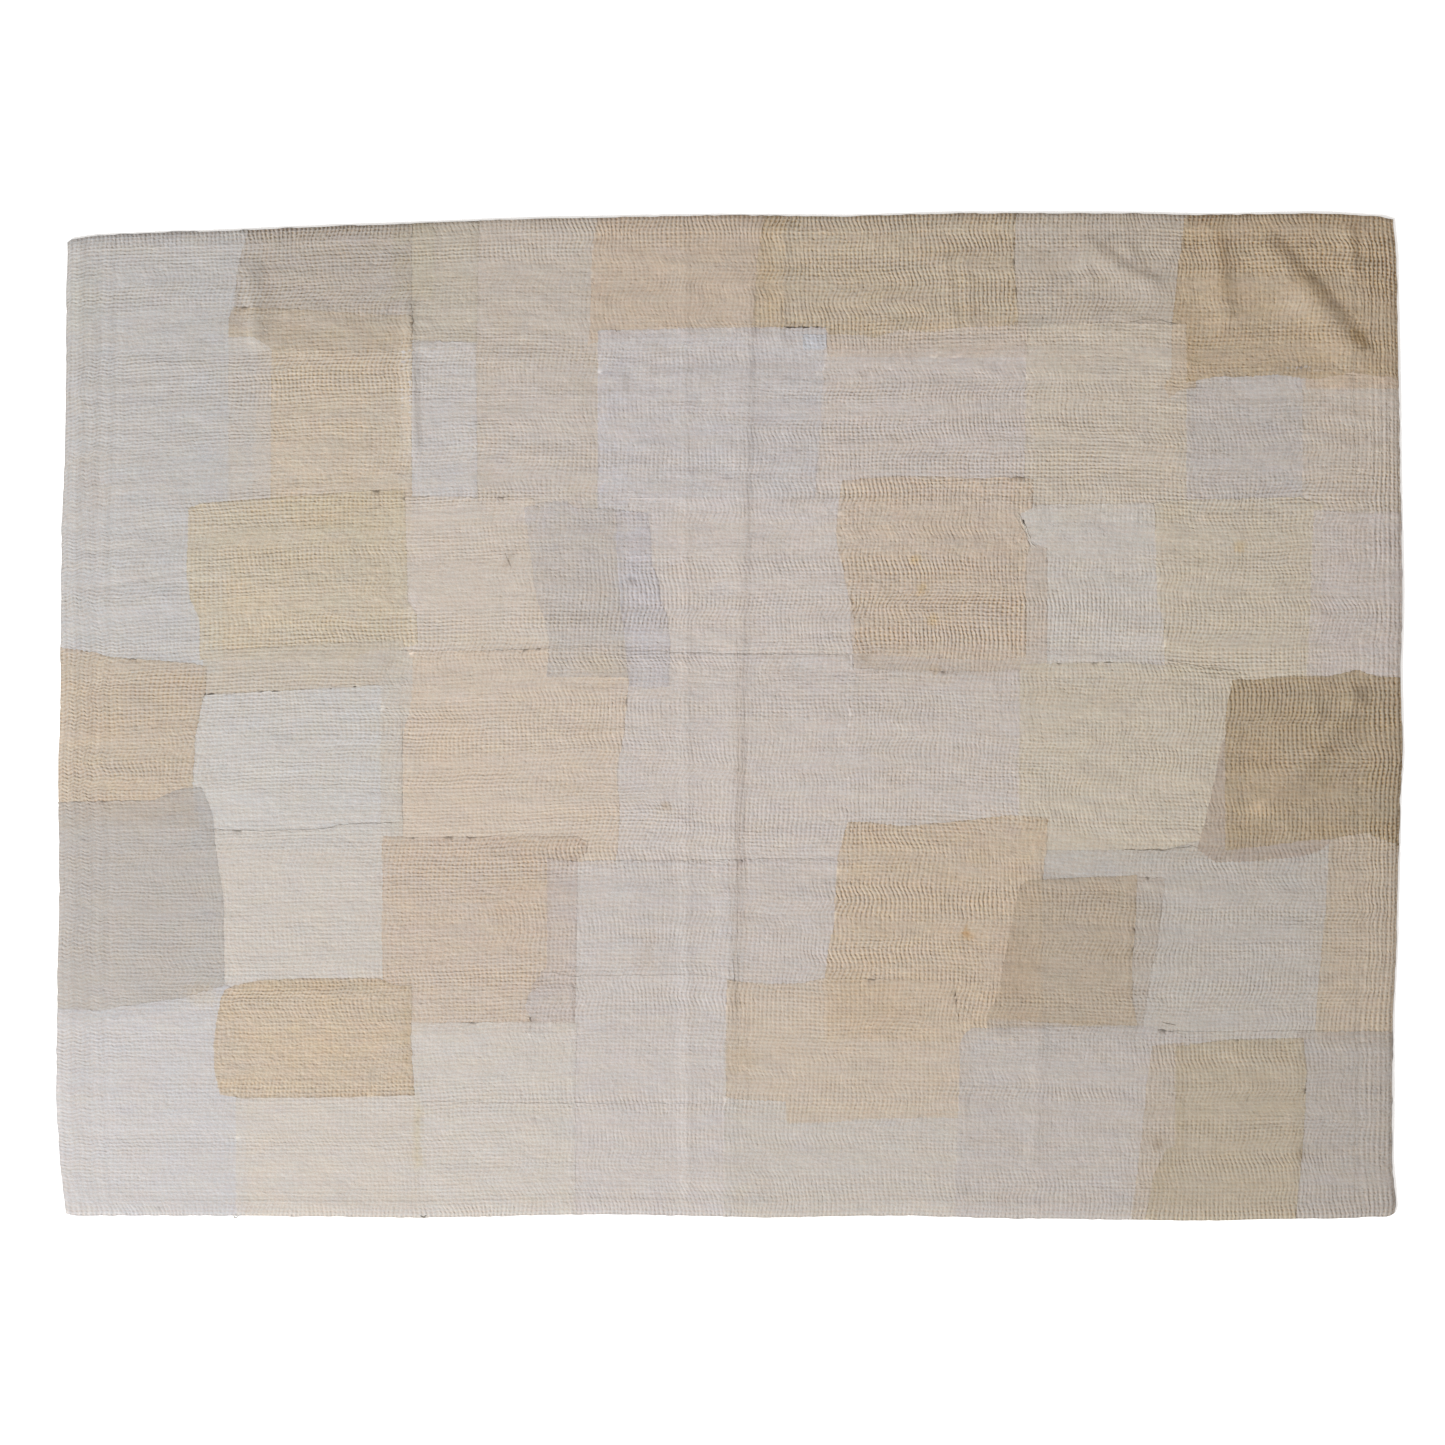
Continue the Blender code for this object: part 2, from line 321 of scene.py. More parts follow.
# The net has a point on each stitch, in the furrow, and one on each puff between four stitches.
rowCount, stitchCount = quilting["rows"], quilting["stitches"]
stitchV, stitchU = np.mgrid[0:rowCount, 0:stitchCount].astype(float)
puffV, puffU = np.mgrid[0:rowCount + 1, 0:stitchCount + 1] - 0.5
netU = np.concatenate([stitchU.ravel(), puffU.ravel()])
netV = np.concatenate([stitchV.ravel(), puffV.ravel()])
isStitch = np.arange(len(netU)) < stitchU.size


def netTriangles(upright):
    # Every four neighbours, left, below, right and above, make two triangles. They meet along the row,
    # so that its furrows and ridges run on unbroken, or up and down where the columns show more. A
    # triangle closes each end.
    stitch = np.arange(stitchU.size).reshape(stitchU.shape)
    puff = stitchU.size + np.arange(puffU.size).reshape(puffU.shape)
    fours = [(stitch[:, :-1], puff[:-1, 1:-1], stitch[:, 1:], puff[1:, 1:-1]),
             (puff[1:-1, :-1], stitch[:-1], puff[1:-1, 1:], stitch[1:])]
    flat = [np.stack([part.ravel() for part in four]) for four in fours]
    left, below, right, above = np.concatenate(flat, axis=1)
    turned = upright[left]
    sets = [
        (below, right, np.where(turned, above, left)),
        (np.where(turned, below, right), above, left),
        (puff[0, :-1], puff[0, 1:], stitch[0]),
        (puff[-1, 1:], puff[-1, :-1], stitch[-1]),
        (puff[:-1, 0], stitch[:, 0], puff[1:, 0]),
        (puff[:-1, -1], puff[1:, -1], stitch[:, -1]),
    ]
    return np.concatenate([np.stack([a.ravel(), b.ravel(), c.ravel()], axis=1) for a, b, c in sets])


def areas(x, y, faces):
    # Half the cross product of two sides; less than nothing where a triangle is turned over
    a, b, c = faces.T
    return 0.5 * ((x[b] - x[a]) * (y[c] - y[a]) - (x[c] - x[a]) * (y[b] - y[a]))


netFaces = netTriangles(np.zeros(len(netU), bool))
onSide = ~isStitch & ((netU < 0.0) | (netU > stitchCount - 1))
onRim = onSide | (~isStitch & ((netV < 0.0) | (netV > rowCount - 1)))
evenX, evenY = onSheet(netU, netV)

# Every stitch is a little off its place. Where that would fold the net, its points go back.
dice = np.random.default_rng(seeds["stitches"])
pitchX = 2.0 * sheet["shortEdge"] / stitchCount
pitchY = 2.0 * sheet["longEdge"] / rowCount
loose, most = quilting["loose"]
netX, netY = (even + np.where(onRim, 0.0, loose * pitch * dice.normal(0.0, 1.0, len(even)).clip(-most, most))
              for even, pitch in ((evenX, pitchX), (evenY, pitchY)))
for _ in range(3):
    folded = np.unique(netFaces[areas(netX, netY, netFaces) < quilting["leastFace"] * pitchX * pitchY])
    netX[folded], netY[folded] = evenX[folded], evenY[folded]
drawnIn = quilting["drawnIn"] + layered(netU, netV, quilting["rimKnobs"], seeds["knobs"])
netX = netX - np.where(onRim & onSide, np.sign(netX) * drawnIn, 0.0)
netY = netY - np.where(onRim & ~onSide, np.sign(netY) * drawnIn, 0.0)

# Some rows are pulled tighter than the rest.
netPucker = puckerAt(netX, netY)
netPull = pull["mean"] + layered(netU, netV, pull["nets"], seeds["pull"])
netPull = netPull + pull["scatter"] * dice.normal(0.0, 1.0, len(netX))
netPull = netPucker * np.clip(netPull, *pull["range"])

# On the left and in the upper right the rows alone show; elsewhere the columns do as much, and in the
# hems they show most.
change, soon = ribs["change"]
netRibs = ribs["right"] + ribs["leftMore"] * 0.5 * (1.0 - np.tanh((netX - change) / soon))
spotX, spotY, halfX, halfY, more = ribs["spot"]
netRibs = netRibs + more * np.exp(-((netX - spotX) / halfX) ** 2 - ((netY - spotY) / halfY) ** 2)
netRibs = netRibs + layered(netU, netV, ribs["nets"], seeds["ribs"])
fromLong, fromLeft, fromRight = fromEdges(netX, netY)
inHem = (fromRight < sheet["hemRight"]) | (fromLong < ribs["hemLong"] * sheet["hemLong"])
netRibs = np.clip(np.where(inHem, ribs["hem"] * netRibs, netRibs), 0.0, 1.0)
netPull = netPull * np.where(inHem, pull["hem"], 1.0)
scatter, least = ribs["turn"]
netFaces = netTriangles(netRibs + scatter * dice.normal(0.0, 1.0, len(netX)) < least)

# Soft lumps, over the creases and presses
netLift = liftAt(netX, netY)
lumps = sum(height for *_, height in sheet["lumps"]) + layered(netU, netV, sheet["lumps"], seeds["lumps"])
anywhere, puckered = sheet["lumpShare"]
fromRim = np.minimum(np.minimum(fromLong, fromLeft), fromRight)
netTop = topAt(netX, netY, netLift)
netTop = netTop + lumps * (anywhere + puckered * netPucker) * np.clip(fromRim / sheet["flatRim"], 0.0, 1.0)

# The cloth between the stitches stands up, the more the tighter the thread, and each puff catches a
# little more or less of the dye.
anywhere, puckered, pulled, scatter = pull["puff"]
rise = anywhere + puckered * netPucker + pulled * netPull
rise = rise + scatter * netPucker * dice.normal(0.0, 1.0, len(netX))
netRise = np.where(isStitch, -pull["hole"] * (netPull - 1.0), sheet["puff"] * rise)
netRise = np.where(onRim, 0.0, netRise)
netShade = 1.0 + pull["shade"] * netPucker * dice.normal(0.0, 1.0, len(netX))
faceX, faceY = netX[netFaces].mean(axis=1), netY[netFaces].mean(axis=1)
print("net:", len(netX), "points,", len(netFaces), "triangles")


def makePiece(name, points, faces, material, stitches, **attributes):
    # points, faces as rows of corner numbers, a UV map in stitches and rows, and values for each point
    mesh = bpy.data.meshes.new(name)
    corners = faces.shape[1]
    mesh.vertices.add(len(points))
    mesh.vertices.foreach_set("co", np.ascontiguousarray(points, np.float32).ravel())
    mesh.loops.add(faces.size)
    mesh.loops.foreach_set("vertex_index", faces.astype(np.int32).ravel())
    mesh.polygons.add(len(faces))
    mesh.polygons.foreach_set("loop_start", np.arange(0, faces.size, corners, dtype=np.int32))
    mesh.update(calc_edges=True)
    layer = mesh.uv_layers.new(name="stitches")
    layer.data.foreach_set("uv", stitches[faces.ravel()].astype(np.float32).ravel())
    for key, values in attributes.items():
        if values.ndim == 2:
            values = np.concatenate([values, np.ones((len(values), 1))], axis=1)
            store = mesh.attributes.new(key, "FLOAT_COLOR", "POINT")
            store.data.foreach_set("color", values.astype(np.float32).ravel())
        else:
            store = mesh.attributes.new(key, "FLOAT", "POINT")
            store.data.foreach_set("value", values.astype(np.float32))
    mesh.materials.append(material)
    mesh.validate()
    mesh.shade_smooth()
    piece = bpy.data.objects.new(name, mesh)
    bpy.context.scene.collection.objects.link(piece)
    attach(piece, "root")
    return piece


def newMaterial(name, inputs):
    # The material, its node tree and its shader, with fixed values on the shader's own sockets
    material = bpy.data.materials.new(name)
    material.use_nodes = True
    shader = material.node_tree.nodes["Principled BSDF"]
    for key, value in inputs.items():
        shader.inputs[key].default_value = value
    return material, material.node_tree, shader


def addNode(tree, kind, inputs=None, **settings):
    node = tree.nodes.new(kind)
    node.location = (190.0 * (len(tree.nodes) % 9), -230.0 * (len(tree.nodes) // 9))
    for key, value in settings.items():
        setattr(node, key, value)
    for key, value in (inputs or {}).items():
        if isinstance(value, bpy.types.NodeSocket):
            tree.links.new(value, node.inputs[key])
        else:
            node.inputs[key].default_value = value
    return node


def sums(tree, operation, *values):
    inputs = dict(enumerate(values))
    return addNode(tree, "ShaderNodeMath", inputs, operation=operation).outputs[0]


def vectorSums(tree, operation, *values):
    inputs = dict(enumerate(values))
    return addNode(tree, "ShaderNodeVectorMath", inputs, operation=operation).outputs[0]


def ranged(tree, value, low, high, toLow, toHigh):
    inputs = {"Value": value, "From Min": low, "From Max": high, "To Min": toLow, "To Max": toHigh}
    return addNode(tree, "ShaderNodeMapRange", inputs, interpolation_type="SMOOTHSTEP").outputs["Result"]


def noise(tree, place, size, detail=2.0):
    # size is the length of one blotch along x, y and z, in metres
    scaled = vectorSums(tree, "MULTIPLY", place, [1.0 / part for part in size])
    inputs = {"Vector": scaled, "Scale": 1.0, "Detail": detail, "Roughness": 0.55}
    return addNode(tree, "ShaderNodeTexNoise", inputs).outputs["Fac"]


def attribute(tree, name, output="Fac"):
    return addNode(tree, "ShaderNodeAttribute", attribute_name=name).outputs[output]


def newGroup(name, inputs, outputs):
    group = bpy.data.node_groups.new(name, "ShaderNodeTree")
    for key, kind, value in inputs:
        socket = group.interface.new_socket(key, in_out="INPUT", socket_type="NodeSocket" + kind)
        if value is not None:
            socket.default_value = value
    for key, kind in outputs:
        group.interface.new_socket(key, in_out="OUTPUT", socket_type="NodeSocket" + kind)
    return group, addNode(group, "NodeGroupInput").outputs, addNode(group, "NodeGroupOutput").inputs


def makePucker():
    # Relief of the running stitch: a hole where the thread dives, once in each stitch, joined to the
    # next one by a furrow along the row and by a groove across to the rows beside it.
    group, given, out = newGroup(
        "stitchPucker",
        [("Stitches", "Vector", None), ("Pull", "Float", 1.0), ("Ribs", "Float", 0.5),
         ("Hole", "Float", 0.0007), ("Furrow", "Float", 0.0003), ("Groove", "Float", 0.0003)],
        [("Height", "Float"), ("Dot", "Float"), ("Shade", "Float")])
    parts = addNode(group, "ShaderNodeSeparateXYZ", {0: given["Stitches"]}).outputs
    toStitch = sums(group, "PINGPONG", parts["X"], 0.5)
    toRow = sums(group, "PINGPONG", parts["Y"], 0.5)
    furrow = ranged(group, toRow, 0.02, 0.48, 1.0, 0.0)
    groove = ranged(group, toStitch, 0.02, 0.44, 1.0, 0.0)
    hole = sums(group, "MULTIPLY", sums(group, "MULTIPLY", furrow, groove), given["Hole"])
    upright = sums(group, "MULTIPLY", sums(group, "SUBTRACT", 1.0, given["Ribs"]), given["Groove"])
    depth = sums(group, "MULTIPLY_ADD", groove, upright, hole)
    depth = sums(group, "MULTIPLY", depth, given["Pull"])
    along = sums(group, "MULTIPLY", furrow, sums(group, "MULTIPLY", given["Furrow"], given["Ribs"]))
    depth = sums(group, "MULTIPLY_ADD", along, sums(group, "MULTIPLY_ADD", given["Pull"], 0.95, 0.10), depth)
    group.links.new(sums(group, "MULTIPLY", depth, -1.0), out["Height"])
    # Dot and Shade are masks of the holes and of the furrows and grooves, for the painted shade put into the dye
    narrow = sums(group, "MULTIPLY", ranged(group, toRow, 0.02, 0.40, 1.0, 0.16),
                  ranged(group, toStitch, 0.02, 0.34, 1.0, 0.0))
    group.links.new(sums(group, "MULTIPLY", narrow, given["Pull"]), out["Dot"])
    inFurrow, inGroove = sums(group, "MULTIPLY", furrow, 0.8), sums(group, "MULTIPLY", groove, 0.6)
    group.links.new(sums(group, "MAXIMUM", inFurrow, inGroove), out["Shade"])
    return group


def makeWeave():
    # Plain weave of thread-wide ups and downs, with thicker slub threads here and there, and a crinkle
    # of the cloth between the stitches.
    group, given, out = newGroup(
        "plainWeave",
        [("Place", "Vector", None), ("Thread", "Float", 0.0005), ("Slub", "Float", 0.3),
         ("Crinkle", "Float", 0.0002)],
        [("Height", "Float"), ("Slubs", "Float")])
    place = given["Place"]
    parts = addNode(group, "ShaderNodeSeparateXYZ", {0: place}).outputs
    turn = sums(group, "DIVIDE", np.pi, given["Thread"])
    warp = sums(group, "SINE", sums(group, "MULTIPLY", parts["X"], turn))
    weft = sums(group, "SINE", sums(group, "MULTIPLY", parts["Y"], turn))
    cross = sums(group, "MULTIPLY", warp, weft)
    long = ranged(group, noise(group, place, (0.060, 0.0016, 0.060), 3.0), 0.52, 0.78, 0.0, 1.0)
    tall = ranged(group, noise(group, place, (0.0018, 0.050, 0.050), 3.0), 0.58, 0.82, 0.0, 1.0)
    slubs = sums(group, "MULTIPLY", sums(group, "MAXIMUM", long, tall), given["Slub"])
    crossed = sums(group, "MULTIPLY", sums(group, "MULTIPLY", cross, given["Thread"]), 0.12)
    crinkle = sums(group, "MULTIPLY", noise(group, place, (0.0085, 0.0065, 0.01)), given["Crinkle"])
    relief = sums(group, "ADD", crinkle, crossed)
    group.links.new(sums(group, "MULTIPLY_ADD", slubs, 0.00022, relief), out["Height"])
    group.links.new(slubs, out["Slubs"])
    return group


def makeAged():
    # Old dye: streaks of thicker and thinner yarn, blotches, warm and green tints, an edge darkened by wear and by
    # painted shade, a warm painted shade in the furrows, and in the holes of the stitches a deeper colour, painted
    # shade and grime, where the dye's own power is raised.
    group, given, out = newGroup(
        "agedDye",
        [("Dye", "Color", None), ("Place", "Vector", None), ("Dot", "Float", 0.0), ("Shade", "Float", 0.0),
         ("Slubs", "Float", 0.0), ("Edge", "Float", 0.0), ("Streak", "Float", 0.05), ("Blotch", "Float", 0.05),
         ("Tint", "Float", 0.03), ("Grimeshade", "Float", 0.2), ("Wearshade", "Float", 0.05)],
        [("Colour", "Color")])

    def around(size, detail=2.0):
        return sums(group, "SUBTRACT", noise(group, given["Place"], size, detail), 0.5)

    light = sums(group, "MULTIPLY_ADD", around((0.22, 0.016, 0.2), 3.0), given["Streak"], 1.0)
    light = sums(group, "MULTIPLY_ADD", around((0.09, 0.0045, 0.1)), given["Streak"], light)
    light = sums(group, "MULTIPLY_ADD", around((0.075, 0.060, 0.06), 3.0), given["Blotch"], light)
    light = sums(group, "MULTIPLY_ADD", given["Slubs"], 0.10, light)
    # A darker edge: wear, and painted shade along the patch's turned edge
    light = sums(group, "SUBTRACT", light, sums(group, "MULTIPLY", given["Edge"], given["Wearshade"]))
    warm = sums(group, "MULTIPLY", around((0.045, 0.022, 0.04), 3.0), given["Tint"])
    green = sums(group, "SUBTRACT", around((0.030, 0.018, 0.03), 3.0), 0.08)
    green = sums(group, "MULTIPLY", green, given["Tint"])
    # Painted shade and grime in the holes of the stitches: darker, with more blue taken than red, and a raised
    # power
    dirtAndShade = sums(group, "MULTIPLY", given["Dot"], given["Grimeshade"])
    leaf = sums(group, "MULTIPLY_ADD", green, 0.6, light)
    # Painted shade in the furrows and grooves: less green and still less blue, a warm shade
    leaf = sums(group, "MULTIPLY_ADD", given["Shade"], -0.090, leaf)
    sky = sums(group, "MULTIPLY_ADD", warm, -1.5, light)
    sky = sums(group, "MULTIPLY_ADD", given["Shade"], -0.14, sky)
    gain = addNode(group, "ShaderNodeCombineXYZ", {
        0: sums(group, "ADD", light, warm), 1: sums(group, "MULTIPLY_ADD", dirtAndShade, -0.20, leaf),
        2: sums(group, "MULTIPLY_ADD", dirtAndShade, -0.55, sky)}).outputs[0]
    dyed = vectorSums(group, "MULTIPLY", given["Dye"], gain)
    power = sums(group, "ADD", dirtAndShade, 1.0)
    deep = addNode(group, "ShaderNodeGamma", {"Color": dyed, "Gamma": power}).outputs[0]
    group.links.new(deep, out["Colour"])
    return group


puckerGroup, weaveGroup, agedGroup = makePucker(), makeWeave(), makeAged()

# Kinds of cotton. relief is a share of the sheet's puffs; thread is the yarn's pitch; crinkle, hole,
# furrow and groove are heights in metres; the rest are shares of the colour that each effect takes.
clothTerms = ("relief", "thread", "slub", "crinkle", "hole", "furrow", "groove",
              "streak", "blotch", "tint", "grimeshade", "wearshade", "rough")
cloths = {name: dict(zip(clothTerms, row)) for name, row in {
    "muslin": (0.50, 0.00050, 0.25, 0.0009, 0.00025, 0.00036, 0.00036, 0.06, 0.06, 0.08, 0.12, 0.02, 0.90),
    "voile": (0.60, 0.00040, 0.10, 0.0009, 0.00037, 0.00046, 0.00044, 0.06, 0.06, 0.08, 0.16, 0.05, 0.86),
    "softCotton": (0.60, 0.00055, 0.35, 0.0007, 0.00032, 0.00044, 0.00038, 0.07, 0.07, 0.08, 0.16, 0.03, 0.91),
    "handspun": (0.80, 0.00080, 0.45, 0.0012, 0.00044, 0.00046, 0.00074, 0.07, 0.08, 0.10, 0.26, 0.06, 0.94),
    "slubbed": (0.80, 0.00095, 1.00, 0.0017, 0.00070, 0.00045, 0.00060, 0.12, 0.14, 0.12, 0.26, 0.08, 0.95),
    "backing": (0.60, 0.00055, 0.25, 0.0007, 0.00030, 0.00025, 0.00012, 0.10, 0.06, 0.08, 0.20, 0.00, 0.92),
}.items()}


def makeCloth(name):
    cloth = cloths[name]
    material, tree, shader = newMaterial(name, {"Specular IOR Level": 0.10, "Sheen Weight": 0.04,
                                                "Sheen Roughness": 0.60})

    def chosen(*terms):
        return {term.capitalize(): cloth[term] for term in terms}

    place = addNode(tree, "ShaderNodeTexCoord").outputs["Object"]
    stitches = addNode(tree, "ShaderNodeUVMap", uv_map="stitches").outputs["UV"]
    pucker = addNode(tree, "ShaderNodeGroup", {
        "Stitches": stitches, "Pull": attribute(tree, "pull"), "Ribs": attribute(tree, "ribs"),
        **chosen("hole", "furrow", "groove")}, node_tree=puckerGroup).outputs
    weave = addNode(tree, "ShaderNodeGroup", {"Place": place, **chosen("thread", "slub", "crinkle")},
                    node_tree=weaveGroup).outputs
    aged = addNode(tree, "ShaderNodeGroup", {
        "Dye": attribute(tree, "dye", "Color"), "Place": place, "Edge": attribute(tree, "edge"),
        "Dot": pucker["Dot"], "Shade": pucker["Shade"], "Slubs": weave["Slubs"],
        **chosen("streak", "blotch", "tint", "grimeshade", "wearshade")}, node_tree=agedGroup).outputs
    relief = sums(tree, "ADD", pucker["Height"], weave["Height"])
    bump = addNode(tree, "ShaderNodeBump", {"Height": relief, "Strength": 1.0, "Distance": 1.0})
    spots = noise(tree, place, (0.02, 0.01, 0.02))
    rough = ranged(tree, spots, 0.2, 0.8, cloth["rough"] - 0.06, cloth["rough"])
    tree.links.new(aged["Colour"], shader.inputs["Base Color"])
    tree.links.new(rough, shader.inputs["Roughness"])
    tree.links.new(bump.outputs["Normal"], shader.inputs["Normal"])
    return material


def makeThread():
    # Sewing thread: two plies twisted together, each stitch with its own shade
    material, tree, shader = newMaterial("sewingThread", {"Roughness": 0.80, "Specular IOR Level": 0.25})
    along = addNode(tree, "ShaderNodeUVMap", uv_map="stitches").outputs["UV"]
    parts = addNode(tree, "ShaderNodeSeparateXYZ", {0: along}).outputs
    across = sums(tree, "MULTIPLY", parts["Y"], 9.0)
    ply = sums(tree, "SINE", sums(tree, "MULTIPLY_ADD", parts["X"], 31.0, across))
    shade = sums(tree, "MULTIPLY_ADD", ply, 0.05, 0.97)
    dyed = vectorSums(tree, "MULTIPLY", attribute(tree, "dye", "Color"), shade)
    bump = addNode(tree, "ShaderNodeBump", {"Height": ply, "Strength": 0.5, "Distance": 0.00008})
    tree.links.new(dyed, shader.inputs["Base Color"])
    tree.links.new(bump.outputs["Normal"], shader.inputs["Normal"])
    return material


materials = {name: makeCloth(name) for name in cloths}
threadMaterial = makeThread()


ground = {
    "step": 2,                    # stitches and rows between two points of the mesh
    "below": 0.00070,             # how far its top lies under the patches
    "rimBelow": 0.0007,           # how much lower it is at the rim
    "inset": 0.0010,              # of the rim, under the patches' rolled edge
    "around": 1.5,                # stitches and rows round a point, the lowest of which counts
    "colour": (194, 188, 180),
    "rimBottom": 0.0003,          # how high its underside is at the rim
    "slack": 0.0001,              # how far the underside hangs under the lifted cloth
    "flat": (2.02, 1.51),         # sewn, with its creases and puckers pulled flat
}


def makeGround():
    # Two faces on one grid, a cloth's thickness apart, joined round the rim.
    def lines(count):
        return np.concatenate([[-0.5], np.arange(1.0, count - 1.0, ground["step"]), [count - 0.5]])
    v, u = np.meshgrid(lines(rowCount), lines(stitchCount), indexing="ij")
    x, y = onSheet(u, v)
    rimmed = np.zeros(u.shape, bool)
    rimmed[[0, -1], :] = True
    rimmed[:, [0, -1]] = True
    innerX = x * (1.0 - ground["inset"] / sheet["shortEdge"])
    innerY = y * (1.0 - ground["inset"] / sheet["longEdge"])
    steps = (-ground["around"], 0.0, ground["around"])
    lift = np.minimum.reduce([liftAt(innerX + dx * pitchX, innerY + dy * pitchY)
                              for dx in steps for dy in steps])
    top = lift + sheet["thick"] - ground["below"] - ground["rimBelow"] * rimmed
    bottom = np.where(rimmed, lift + ground["rimBottom"], np.maximum(lift - ground["slack"], 0.0))
    upper = np.arange(u.size).reshape(u.shape)
    lower = upper + u.size
    ring = np.concatenate([upper[0, :-1], upper[:-1, -1], upper[-1, :0:-1], upper[:0:-1, 0]])
    following = np.roll(ring, -1)
    faces = np.concatenate([
        np.stack([upper[:-1, :-1], upper[:-1, 1:], upper[1:, 1:], upper[1:, :-1]], axis=-1).reshape(-1, 4),
        np.stack([lower[:-1, :-1], lower[1:, :-1], lower[1:, 1:], lower[:-1, 1:]], axis=-1).reshape(-1, 4),
        np.stack([ring, ring + u.size, following + u.size, following], axis=1),
    ])
    points = np.concatenate([np.stack([innerX, innerY, z], axis=-1).reshape(-1, 3) for z in (top, bottom)])
    stitches = np.tile(np.stack([u.ravel(), v.ravel()], axis=1), (2, 1))
    dye = np.tile(linear(ground["colour"]), (len(points), 1))
    ones = np.ones(len(points))
    return makePiece("groundCloth", points, faces, materials["backing"], stitches,
                     dye=dye, pull=ones, ribs=0.5 * ones, edge=0.0 * ones)


groundCloth = makeGround()
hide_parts("quilt")
print("ground cloth:", len(groundCloth.data.polygons), "faces")


